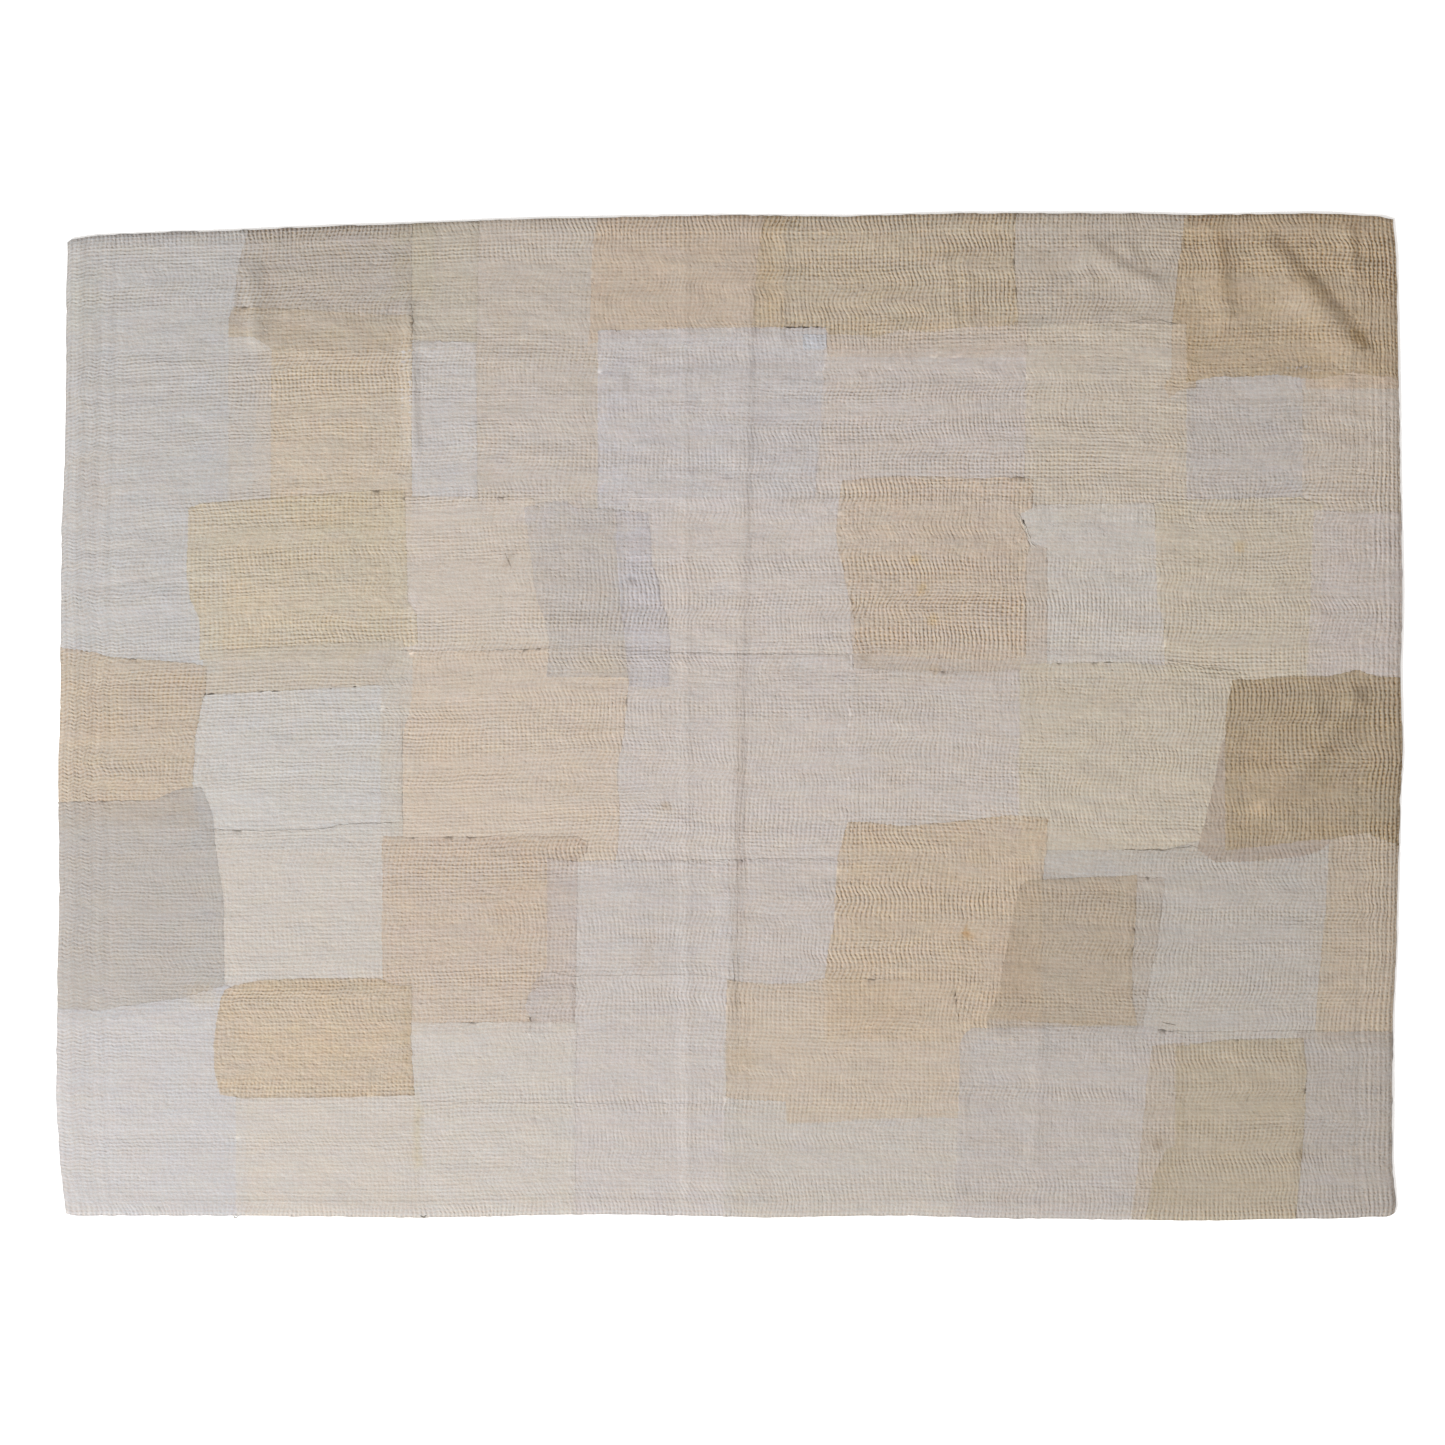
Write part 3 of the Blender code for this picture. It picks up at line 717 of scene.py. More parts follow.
# Each patch: its cloth, its colour where it lies singly on white, how much shows through it, and its
# outline in photo pixels, from the lowest patch to the topmost. One that reaches the rim goes past it.
patches = {
    "whiteLeft": ("muslin", (192, 188, 183), 0.2, [
        (30, 180), (266, 180), (262, 300), (250, 520), (222, 600), (222, 674), (30, 670)]),
    "oliveBand": ("softCotton", (184, 176, 158), 0.3, [
        (392, 180), (436, 180), (434, 300), (392, 300)]),
    "creamTop": ("softCotton", (190, 180, 168), 0.3, [
        (470, 180), (612, 180), (612, 518), (470, 518)]),
    "greenBeige": ("softCotton", (187, 178, 164), 0.3, [
        (404, 180), (480, 180), (477, 347), (402, 350)]),
    "whiteStrip": ("muslin", (195, 189, 183), 0.3, [
        (402, 340), (476, 343), (478, 518), (398, 518)]),
    "pinkStrip": ("voile", (195, 186, 175), 0.4, [
        (229, 325), (285, 330), (285, 512), (229, 508)]),
    "warmBeige": ("handspun", (197, 184, 166), 0.25, [
        (272, 322), (413, 320), (412, 400), (412, 530), (300, 530), (271, 505)]),
    "greyBeige": ("handspun", (182, 173, 162), 0.3, [
        (249, 180), (413, 180), (412, 260), (412, 330), (340, 322), (280, 318), (234, 312),
        (236, 287), (239, 262), (245, 243), (249, 228)]),
    "tanBand": ("handspun", (186, 174, 158), 0.25, [
        (229, 318), (234, 307), (290, 309), (350, 313), (412, 316), (412, 350), (340, 352), (300, 349),
        (272, 350), (265, 344), (252, 337), (229, 337)]),
    "beigeTop": ("softCotton", (188, 173, 156), 0.3, [
        (598, 180), (786, 180), (784, 335), (752, 337), (700, 337), (640, 339), (604, 341), (588, 345),
        (590, 328), (591, 300), (591, 275), (594, 240), (598, 215)]),
    "whiteMiddle": ("muslin", (189, 183, 179), 0.25, [
        (598, 331), (700, 328), (828, 328), (827, 355), (822, 420), (816, 480), (814, 520), (598, 520)]),
    "pinkCream": ("softCotton", (190, 181, 173), 0.3, [
        (824, 350), (1034, 350), (1034, 520), (814, 520), (816, 480), (821, 420)]),
    "greyCream": ("softCotton", (175, 165, 152), 0.3, [
        (1008, 180), (1192, 180), (1192, 334), (1008, 334)]),
    "creamRight": ("softCotton", (186, 176, 162), 0.3, [
        (1026, 325), (1100, 323), (1190, 325), (1192, 520), (1024, 520)]),
    "pinkBand": ("voile", (186, 174, 161), 0.35, [
        (826, 322), (1028, 322), (1027, 357), (940, 358), (827, 357)]),
    "tanTop": ("handspun", (182, 169, 150), 0.35, [
        (766, 180), (765, 216), (761, 235), (757, 262), (755, 290), (752, 327), (790, 327), (825, 327),
        (828, 335), (860, 335), (875, 338), (900, 330), (930, 332), (960, 328), (1018, 325), (1014, 260),
        (1017, 180)]),
    "blueScrap": ("voile", (184, 182, 181), 0.3, [
        (803, 335), (826, 335), (826, 350), (803, 350)]),
    "lilacRight": ("muslin", (177, 170, 163), 0.2, [
        (1186, 368), (1308, 366), (1308, 518), (1186, 512)]),
    "creamCorner": ("softCotton", (180, 170, 158), 0.3, [
        (1302, 366), (1430, 366), (1430, 524), (1302, 524)]),
    "tanFringe": ("voile", (178, 164, 147), 0.4, [
        (1176, 310), (1196, 318), (1196, 388), (1180, 390), (1169, 398), (1163, 386), (1171, 378), (1172, 322)]),
    "pinkTanStrip": ("voile", (178, 163, 146), 0.4, [
        (1305, 370), (1430, 370), (1430, 389), (1305, 389)]),
    "cornerTan": ("handspun", (171, 155, 133), 0.15, [
        (1184, 180), (1184, 217), (1181, 250), (1178, 262), (1176, 285), (1172, 323), (1186, 325),
        (1186, 383), (1200, 380), (1215, 377), (1250, 377), (1275, 375), (1315, 380), (1325, 378),
        (1352, 373), (1396, 378), (1430, 378), (1430, 180)]),
    "creamMiddle": ("softCotton", (200, 189, 176), 0.3, [
        (400, 496), (532, 498), (560, 560), (560, 662), (400, 662)]),
    "creamWhite": ("muslin", (196, 187, 179), 0.3, [
        (628, 498), (850, 498), (862, 600), (862, 664), (628, 664)]),
    "whiteInner": ("muslin", (189, 182, 173), 0.3, [
        (1024, 480), (1034, 505), (1162, 503), (1160, 560), (1170, 672), (1024, 672)]),
    "creamLow": ("softCotton", (186, 176, 160), 0.3, [
        (1154, 503), (1186, 500), (1300, 497), (1322, 505), (1320, 688), (1235, 684), (1200, 680), (1185, 676),
        (1165, 674), (1163, 620), (1157, 600)]),
    "whiteEdge": ("muslin", (182, 173, 165), 0.3, [
        (1313, 510), (1360, 513), (1430, 512), (1430, 690), (1306, 690), (1310, 600)]),
    "khaki": ("handspun", (199, 187, 167), 0.3, [
        (189, 508), (205, 503), (260, 499), (300, 496), (350, 492), (405, 490), (408, 600), (417, 615),
        (418, 645), (402, 648), (370, 650), (355, 658), (352, 660), (200, 660), (200, 620), (191, 600),
        (187, 575), (188, 545)]),
    "greyTanStrip": ("muslin", (195, 185, 171), 0.3, [
        (203, 650), (404, 640), (404, 684), (300, 690), (206, 695)]),
    "tanFray": ("muslin", (186, 174, 161), 0.35, [
        (846, 545), (1036, 545), (1047, 548), (1047, 680), (1020, 684), (930, 686), (855, 686), (852, 640)]),
    "tanMiddle": ("handspun", (191, 177, 161), 0.15, [
        (842, 481), (870, 478), (900, 476), (940, 477), (965, 479), (1020, 477), (1033, 480), (1032, 508),
        (1020, 514), (1030, 545), (1026, 560), (1026, 656), (1000, 660), (930, 658), (852, 653), (855, 640),
        (854, 620), (850, 600), (846, 585), (842, 565), (838, 550), (836, 530), (838, 510), (840, 495)]),
    "whiteSquare": ("muslin", (200, 195, 188), 0.2, [
        (190, 700), (207, 695), (300, 690), (400, 684), (400, 846), (325, 850), (190, 850)]),
    "creamStrip": ("muslin", (199, 190, 178), 0.3, [
        (381, 682), (400, 650), (418, 650), (416, 848), (381, 848)]),
    "tanLeft": ("handspun", (197, 183, 165), 0.2, [
        (30, 648), (62, 648), (95, 652), (110, 657), (150, 660), (190, 663), (207, 666), (206, 690),
        (203, 700), (200, 715), (196, 735), (195, 750), (193, 785), (200, 828), (30, 828)]),
    "pinkMiddle": ("muslin", (197, 188, 180), 0.3, [
        (612, 652), (700, 653), (852, 655), (862, 760), (850, 870), (606, 870)]),
    "peach": ("softCotton", (202, 188, 172), 0.25, [
        (408, 650), (480, 651), (548, 648), (600, 645), (627, 642), (630, 675), (627, 700), (624, 735),
        (622, 745), (617, 770), (620, 810), (618, 850), (612, 870), (500, 862), (403, 850), (403, 735),
        (409, 715), (413, 690), (413, 662)]),
    "greyPatch": ("voile", (188, 180, 172), 0.3, [
        (524, 508), (545, 502), (567, 502), (575, 508), (610, 509), (622, 511), (620, 560), (624, 600),
        (628, 640), (628, 678), (610, 677), (547, 677), (549, 640), (545, 620), (537, 600), (533, 578),
        (531, 555), (527, 530)]),
    "blueVeil": ("voile", (189, 182, 178), 0.35, [
        (616, 510), (648, 513), (651, 540), (652, 565), (659, 580), (661, 600), (667, 615), (670, 640),
        (669, 686), (650, 689), (629, 686), (625, 640), (620, 600), (617, 560)]),
    "greyCreamLow": ("softCotton", (193, 184, 175), 0.3, [
        (850, 668), (950, 672), (1030, 670), (1028, 835), (846, 835)]),
    "yellowCream": ("softCotton", (189, 179, 163), 0.3, [
        (1020, 664), (1110, 662), (1200, 667), (1240, 672), (1240, 862), (1018, 858)]),
    "whiteRight": ("muslin", (181, 174, 165), 0.3, [
        (1036, 850), (1120, 850), (1165, 850), (1197, 840), (1260, 836), (1336, 824), (1332, 915), (1326, 980),
        (1322, 1054), (1036, 1054)]),
    "creamEdge": ("softCotton", (181, 168, 151), 0.3, [
        (1330, 824), (1380, 822), (1430, 822), (1430, 1048), (1314, 1048), (1318, 980), (1325, 915)]),
    "brownFringe": ("muslin", (171, 158, 145), 0.3, [
        (1222, 740), (1240, 735), (1240, 830), (1330, 826), (1330, 842), (1320, 850), (1300, 857),
        (1250, 861), (1215, 862), (1197, 849), (1210, 800)]),
    "brown": ("handspun", (168, 153, 131), 0.1, [
        (1232, 680), (1260, 679), (1290, 676), (1330, 676), (1357, 670), (1375, 676), (1400, 678),
        (1430, 678), (1430, 848), (1398, 845), (1380, 838), (1365, 833), (1345, 836), (1330, 839),
        (1300, 841), (1265, 846), (1225, 850), (1225, 720), (1228, 700)]),
    "pinkLow": ("muslin", (196, 187, 179), 0.3, [
        (718, 860), (848, 860), (848, 1000), (718, 1000)]),
    "tanCream": ("handspun", (194, 178, 158), 0.25, [
        (848, 822), (870, 822), (900, 826), (950, 822), (985, 818), (1010, 815), (1048, 818), (1046, 850),
        (1042, 880), (1042, 1040), (985, 1040), (955, 1042), (900, 1040), (826, 1040), (825, 975),
        (828, 950), (834, 925), (836, 880), (837, 860), (842, 840)]),
    "brownGreyFringe": ("voile", (181, 171, 159), 0.3, [
        (1126, 876), (1165, 878), (1160, 920), (1156, 950), (1150, 975), (1141, 1037), (1040, 1039),
        (985, 1037), (988, 1016), (1126, 1018)]),
    "brownGrey": ("voile", (180, 166, 148), 0.22, [
        (1020, 885), (1030, 880), (1070, 878), (1137, 875), (1135, 930), (1132, 960), (1132, 1000),
        (1137, 1025), (1080, 1025), (1045, 1022), (986, 1018), (995, 1000), (1000, 985), (1005, 955),
        (1010, 930), (1015, 905)]),
    "creamLeft": ("muslin", (203, 195, 185), 0.3, [
        (205, 829), (262, 831), (325, 829), (340, 825), (392, 823), (392, 996), (180, 1008), (205, 900)]),
    "greyLeft": ("voile", (187, 180, 172), 0.3, [
        (30, 800), (58, 802), (155, 800), (172, 792), (185, 788), (201, 787), (206, 797), (213, 815),
        (215, 840), (219, 870), (224, 900), (225, 996), (200, 1004), (185, 1008), (155, 1014), (130, 1018),
        (100, 1020), (58, 1019), (30, 1019)]),
    "lilacLow": ("muslin", (199, 191, 184), 0.3, [
        (570, 862), (600, 860), (728, 862), (735, 1000), (735, 1240), (570, 1240)]),
    "tanLower": ("handspun", (199, 184, 168), 0.2, [
        (383, 836), (420, 838), (500, 836), (575, 836), (588, 842), (587, 852), (578, 860), (549, 862),
        (549, 965), (540, 985), (530, 993), (530, 1034), (412, 1034), (408, 992), (383, 985), (382, 930),
        (383, 880), (382, 850)]),
    "greyScrap": ("voile", (194, 182, 172), 0.3, [
        (547, 858), (578, 862), (577, 920), (576, 986), (574, 1034), (530, 1034), (532, 985), (547, 965)]),
    "greyTanScrap": ("voile", (197, 187, 178), 0.3, [
        (528, 995), (538, 987), (555, 984), (573, 986), (573, 1019), (546, 1021), (530, 1016), (525, 1006)]),
    "whiteLow": ("muslin", (203, 198, 194), 0.2, [
        (30, 1008), (100, 1010), (185, 997), (225, 985), (246, 990), (246, 1240), (30, 1240)]),
    "creamBottom": ("muslin", (207, 198, 187), 0.3, [
        (236, 1080), (424, 1080), (424, 1240), (236, 1240)]),
    "creamPale": ("muslin", (205, 197, 187), 0.3, [
        (406, 1022), (577, 1022), (575, 1100), (576, 1240), (418, 1240), (416, 1100), (406, 1100)]),
    "slubTan": ("slubbed", (201, 185, 164), 0.1, [
        (225, 990), (235, 985), (262, 980), (300, 978), (378, 978), (395, 985), (412, 985), (412, 1010),
        (411, 1040), (413, 1070), (415, 1095), (340, 1097), (240, 1098), (220, 1094), (215, 1070),
        (214, 1045), (217, 1020), (221, 1000)]),
    "creamBelow": ("muslin", (196, 188, 178), 0.3, [
        (724, 1040), (760, 1046), (800, 1090), (966, 1090), (966, 1160), (965, 1240), (724, 1240)]),
    "creamWarm": ("softCotton", (197, 183, 166), 0.3, [
        (727, 979), (745, 982), (770, 984), (800, 983), (825, 978), (954, 980), (958, 1020), (962, 1030),
        (970, 1042), (970, 1080), (968, 1100), (966, 1118), (925, 1117), (900, 1118), (860, 1119),
        (830, 1122), (787, 1123), (786, 1101), (740, 1099), (726, 1097)]),
    "pinkSelvedge": ("voile", (197, 185, 171), 0.4, [
        (726, 1000), (748, 1003), (747, 1050), (749, 1100), (726, 1097)]),
    "whiteLilac": ("muslin", (189, 181, 173), 0.25, [
        (960, 1042), (964, 1034), (972, 1028), (1060, 1027), (1150, 1027), (1182, 1034), (1182, 1240),
        (954, 1240), (956, 1150), (959, 1080)]),
    "lilacEdge": ("muslin", (176, 168, 159), 0.25, [
        (1296, 1032), (1360, 1031), (1430, 1032), (1430, 1240), (1286, 1240)]),
    "khakiFringe": ("voile", (187, 175, 160), 0.3, [
        (1152, 1046), (1184, 1042), (1184, 1150), (1165, 1180), (1150, 1240), (1128, 1240), (1133, 1200),
        (1140, 1150), (1143, 1120), (1147, 1080)]),
    "khakiLow": ("softCotton", (181, 169, 150), 0.2, [
        (1175, 1046), (1200, 1043), (1230, 1039), (1303, 1038), (1306, 1070), (1305, 1110), (1302, 1150),
        (1299, 1180), (1295, 1219), (1294, 1240), (1142, 1240), (1145, 1219), (1150, 1195), (1153, 1175),
        (1165, 1150), (1175, 1145)]),
}


patchEdge = {
    "ragged": 0.00055,     # how far its edge wanders off the line, in metres
    "corner": 0.006,       # how near a corner takes the nearest point
    "leastFace": 0.004,    # of a pitch square; a smaller triangle is left out
    "leastDye": 0.02,      # of the light, in the darkest thin cloth
    "farthest": 0.95,      # metres from the middle, for the light that the photo has there
    "wornAndShaded": 0.0030,        # how far in the edge is darkened, by wear and by painted shade of its turned edge
    "rimShade": 0.72,      # of the colour left on the outer rim, painted darker there as shade
    "below": 0.00015,      # how far its turned edge ends under its own thickness
    "tuck": 0.0008,        # share of the way to the middle that it goes in under the rim
    "aboveFloor": 0.0002,  # how high it ends there
    "sharp": 1.0,          # radians; a steeper turn is shaded as an edge
}


def insideOutline(x, y, outline):
    # A point is inside where a line to the right crosses the outline an odd number of times.
    inside = np.zeros(x.shape, bool)
    for (x0, y0), (x1, y1) in zip(outline, np.roll(outline, -1, axis=0)):
        if y0 != y1:
            crosses = (y0 > y) != (y1 > y)
            inside ^= crosses & (x < x0 + (y - y0) / (y1 - y0) * (x1 - x0))
    return inside


def nearestOnOutline(x, y, outline):
    # The closest point of the outline to each place, and how far away it is.
    side = np.roll(outline, -1, axis=0) - outline
    place = np.stack([x, y], axis=1)[:, None, :]
    share = ((place - outline) * side).sum(axis=2) / np.maximum((side * side).sum(axis=1), 1.0e-12)
    foot = outline + np.clip(share, 0.0, 1.0)[..., None] * side
    gap = np.hypot(*(np.moveaxis(place - foot, 2, 0)))
    best = gap.argmin(axis=1)
    rows = np.arange(len(x))
    return foot[rows, best], gap[rows, best]


def openEdges(faces):
    # The directed edges that belong to one triangle alone.
    edges = np.concatenate([faces[:, [0, 1]], faces[:, [1, 2]], faces[:, [2, 0]]])
    key = edges.min(axis=1) * len(netX) + edges.max(axis=1)
    _, where, times = np.unique(key, return_index=True, return_counts=True)
    return edges[where[times == 1]]


# Stains and faded places, and the painted shade and painted highlights beside some creases and folds: middle in
# photo pixels, half width and height, lean in degrees, and what is left there of the red, green and blue.
stainsAndShading = [
    (967, 935, 7, 6, 0, (0.97, 0.83, 0.60)),
    (966, 934, 3, 3, 0, (0.96, 0.78, 0.50)),
    (1240, 545, 6, 5, 0, (0.97, 0.86, 0.66)),
    (915, 560, 6, 4, 20, (0.98, 0.92, 0.76)),
    (922, 588, 7, 5, 60, (0.98, 0.90, 0.72)),
    (933, 620, 6, 6, 0, (0.98, 0.92, 0.76)),
    (935, 668, 5, 4, 0, (0.97, 0.90, 0.76)),
    (631, 581, 5, 4, 0, (0.72, 0.70, 0.68)),
    (865, 658, 6, 4, 10, (0.78, 0.73, 0.66)),
    (1157, 1144, 6, 6, 0, (0.78, 0.74, 0.70)),
    (1300, 1152, 4, 8, 0, (0.78, 0.75, 0.72)),
    (666, 806, 5, 4, 0, (0.84, 0.76, 0.66)),
    (626, 378, 4, 12, 5, (0.84, 0.84, 0.83)),
    (645, 957, 7, 18, -15, (0.95, 0.92, 0.88)),
    (417, 1138, 4, 44, 0, (0.96, 0.92, 0.80)),
    (414, 620, 6, 32, 0, (1.10, 1.11, 1.14)),
    (203, 995, 20, 9, -10, (1.04, 1.00, 0.93)),
    # Painted highlight along a pressed crease in the lower middle
    (681, 1040, 6, 176, 0, (1.05, 1.06, 1.07)),
    (1358, 338, 11, 7, -50, (0.93, 0.84, 0.66)),
    # Painted shade on the far side of the fold in the upper right corner
    (1310, 283, 9, 34, 40, (0.93, 0.89, 0.80)),
    # Painted shade beside a crease near the top
    (1222, 260, 6, 40, 5, (0.93, 0.89, 0.82)),
    # Painted highlight on the lit side of that corner fold
    (1293, 306, 12, 36, -38, (1.06, 1.07, 1.10)),
    (1106, 262, 22, 12, 30, (1.04, 1.04, 1.04)),
    (480, 640, 70, 8, 0, (1.01, 1.00, 0.97)),
    (739, 800, 3, 160, 0, (0.98, 0.95, 0.92)),
    (746, 860, 2, 150, 0, (0.98, 0.95, 0.92)),
    (90, 480, 16, 30, 0, (1.00, 0.97, 0.94)),
    (84, 300, 20, 40, 0, (0.99, 1.00, 0.97)),
    # Painted shade on the steep side of a crease near the top right
    (1355, 245, 5, 30, 0, (0.92, 0.88, 0.82)),
    (640, 590, 22, 60, 0, (0.98, 1.00, 1.03)),
    (509, 561, 3, 9, -30, (0.78, 0.75, 0.70)),
    (740, 1060, 16, 14, 0, (0.97, 0.94, 0.88)),
    (330, 1040, 60, 26, 5, (1.03, 1.01, 0.98)),
    (520, 905, 30, 34, 0, (1.02, 0.99, 0.95)),
    (455, 760, 30, 44, 0, (1.01, 0.99, 0.96)),
    (1265, 770, 24, 40, 0, (1.05, 1.03, 1.01)),
    (1320, 720, 30, 24, 0, (0.95, 0.95, 0.93)),
    (98, 730, 34, 20, 0, (1.02, 1.00, 0.97)),
    (250, 600, 28, 30, 0, (1.03, 1.01, 0.98)),
    (345, 540, 34, 22, 0, (0.97, 0.97, 0.95)),
    (541, 438, 66, 78, 0, (1.04, 1.06, 1.12)),
    (470, 1008, 58, 16, 0, (1.01, 1.03, 1.05)),
    (1012, 970, 24, 48, 15, (0.95, 0.93, 0.93)),
    (868, 1005, 50, 30, 0, (0.99, 0.96, 0.92)),
    (600, 665, 34, 14, 0, (1.03, 1.01, 0.95)),
    (768, 270, 7, 60, 3, (0.97, 0.95, 0.91)),
    (407, 1030, 5, 46, 0, (0.93, 0.91, 0.86)),
    (310, 985, 80, 5, 0, (0.96, 0.94, 0.89)),
    (130, 806, 76, 14, 0, (1.04, 1.01, 0.98)),
    # Painted shade on the far side of the brown patch's diagonal fold
    (1312, 780, 10, 40, -38, (0.92, 0.91, 0.90)),
    # Painted highlight on its lit side
    (1292, 764, 9, 38, -38, (1.05, 1.05, 1.06)),
    (1362, 718, 7, 34, 0, (0.91, 0.90, 0.89)),
    (1372, 808, 26, 28, 0, (0.94, 0.95, 0.95)),
    (1368, 760, 4, 70, 0, (1.04, 1.04, 1.03)),
]
stainAndShadeEdge = {
    "step": 0.008,         # metres from one bend of a stain's outline to the next
    "wander": 0.30,        # how far it bends, as a share of the way from the middle
    "grain": 0.15,         # the same from point to point
}


def stainsAndShadingAt(x, y):
    # Each fades from its middle as exp of minus the fourth power of the distance, on a ragged outline.
    left = np.ones((len(x), 3))
    step, wander, grain = stainAndShadeEdge["step"], stainAndShadeEdge["wander"], stainAndShadeEdge["grain"]
    ragged = 1.0 + wander * unevenAt(x, y, step, step, seeds["stainsAndShading"]) + grain * dice.normal(0.0, 1.0, len(x))
    for column, row, halfX, halfY, lean, share in stainsAndShading:
        dx, dy = ((np.stack([x, y], axis=1) - fromPhoto((column, row))) / photo["metresPerPixel"]).T
        cos, sin = np.cos(np.radians(lean)), np.sin(np.radians(lean))
        away = np.hypot((cos * dx + sin * dy) / halfX, (cos * dy - sin * dx) / halfY) * ragged
        left *= 1.0 + (np.array(share) - 1.0) * np.exp(-away ** 4)[:, None]
    return left


netStainAndShade = stainsAndShadingAt(netX, netY)
stackDye = np.tile(linear(ground["colour"]), (len(netX), 1))   # what shows at each point so far
stackTop = netTop - 0.001                                      # and how high it lies


def makePatch(name, cloth, colour, sheer, outline):
    outline = fromPhoto(outline)
    chosen = netFaces[insideOutline(faceX, faceY, outline)]

    # The points round the edge move onto the outline, apart from those on the quilt's own rim.
    rim = np.unique(openEdges(chosen))
    rim = rim[~onRim[rim]]
    x, y = netX.copy(), netY.copy()
    foot, _ = nearestOnOutline(x[rim], y[rim], outline)
    x[rim], y[rim] = foot[:, 0], foot[:, 1]
    for cornerX, cornerY in outline:
        away = np.hypot(x[rim] - cornerX, y[rim] - cornerY)
        if len(away) and away.min() < patchEdge["corner"]:
            x[rim[away.argmin()]], y[rim[away.argmin()]] = cornerX, cornerY
    atCorner = np.isin(x[rim], outline[:, 0]) & np.isin(y[rim], outline[:, 1])
    x[rim] += np.where(atCorner, 0.0, dice.normal(0.0, patchEdge["ragged"], len(rim)))
    y[rim] += np.where(atCorner, 0.0, dice.normal(0.0, patchEdge["ragged"], len(rim)))
    chosen = chosen[areas(x, y, chosen) > patchEdge["leastFace"] * pitchX * pitchY]

    # What shows is its own dye, with some of what lies below.
    middle = np.clip(outline.mean(axis=0), -patchEdge["farthest"], patchEdge["farthest"])
    seen = unlit(colour, middle)
    own = np.clip((seen - sheer * linear(ground["colour"])) / (1.0 - sheer), patchEdge["leastDye"], 1.0)
    used = np.unique(chosen)
    # On the quilt's outer rim the dye is darkened: painted shade
    own = own * (netStainAndShade * netShade[:, None] * np.where(onRim, patchEdge["rimShade"], 1.0)[:, None])[used]
    mixed = own * (1.0 - sheer) + stackDye[used] * sheer
    _, toEdge = nearestOnOutline(netX[used], netY[used], outline)
    puffed = netTop[used] + netRise[used] * cloths[cloth]["relief"]
    height = np.maximum(puffed, stackTop[used]) + sheet["layer"] * ~onRim[used]
    inner = insideOutline(netX[used], netY[used], outline)
    stackDye[used[inner]] = mixed[inner]
    stackTop[used] = height

    # Its edge turns down onto the cloth below, or under the quilt's rim.
    number = np.full(len(netX), -1)
    number[used] = np.arange(len(used))
    start, end = number[openEdges(chosen)].T
    low = np.unique([start, end])
    lowered = np.full(len(used), -1)
    lowered[low] = len(used) + np.arange(len(low))
    points = np.stack([x[used], y[used], height], axis=1)
    skirt = points[low].copy()
    atRim = onRim[used[low]]
    skirt[:, 2] = np.where(atRim, netLift[used[low]] + patchEdge["aboveFloor"],
                           skirt[:, 2] - sheet["layer"] - patchEdge["below"])
    skirt[:, :2] -= np.where(atRim[:, None], patchEdge["tuck"] * skirt[:, :2], 0.0)
    faces = np.concatenate([number[chosen], np.stack([start, lowered[start], end], axis=1),
                            np.stack([end, lowered[start], lowered[end]], axis=1)])
    source = np.concatenate([np.arange(len(used)), low])
    spots = used[source]
    # Near its edge the patch is painted darker, as wear and as painted shade
    edge = np.exp(-(toEdge / patchEdge["wornAndShaded"]) ** 2)[source]
    piece = makePiece("patch_" + name, np.concatenate([points, skirt]), faces, materials[cloth],
                      np.stack([netU[spots], netV[spots]], axis=1), dye=mixed[source], pull=netPull[spots],
                      ribs=netRibs[spots], edge=edge)
    piece.data.set_sharp_from_angle(angle=patchEdge["sharp"])
    return piece


patchPieces = [makePatch(name, *patch) for name, patch in patches.items()]
patchTriangles = sum(len(piece.data.polygons) for piece in patchPieces)
print("patches:", len(patchPieces), "with", patchTriangles, "triangles")


thread = {
    "shade": (0.98, 0.96, 0.93),   # of the cloth's colour that the thread has on it
    "onWhite": (1.02, 1.01, 1.00),
    "white": (0.70, 0.20),         # blue over red at which a cloth is dyed, and how much more makes it white
    "bands": 3,                    # pieces that the rows are shared between
    "ribbed": 0.30,                # how much narrower a stitch is where the rows show
    "sunk": 0.00025,               # how far its corners lie in the cloth
    "scatter": (0.08, 0.16, 0.12, 0.04),   # of its angle, length, width and shade
    "hemTilt": 0.6,                # radians that the hem's stitches slant, one way and the other
    "hemShade": 0.14,              # how much darker they are
}


def onStitches(values):
    return values[:stitchU.size].reshape(stitchU.shape + values.shape[1:])


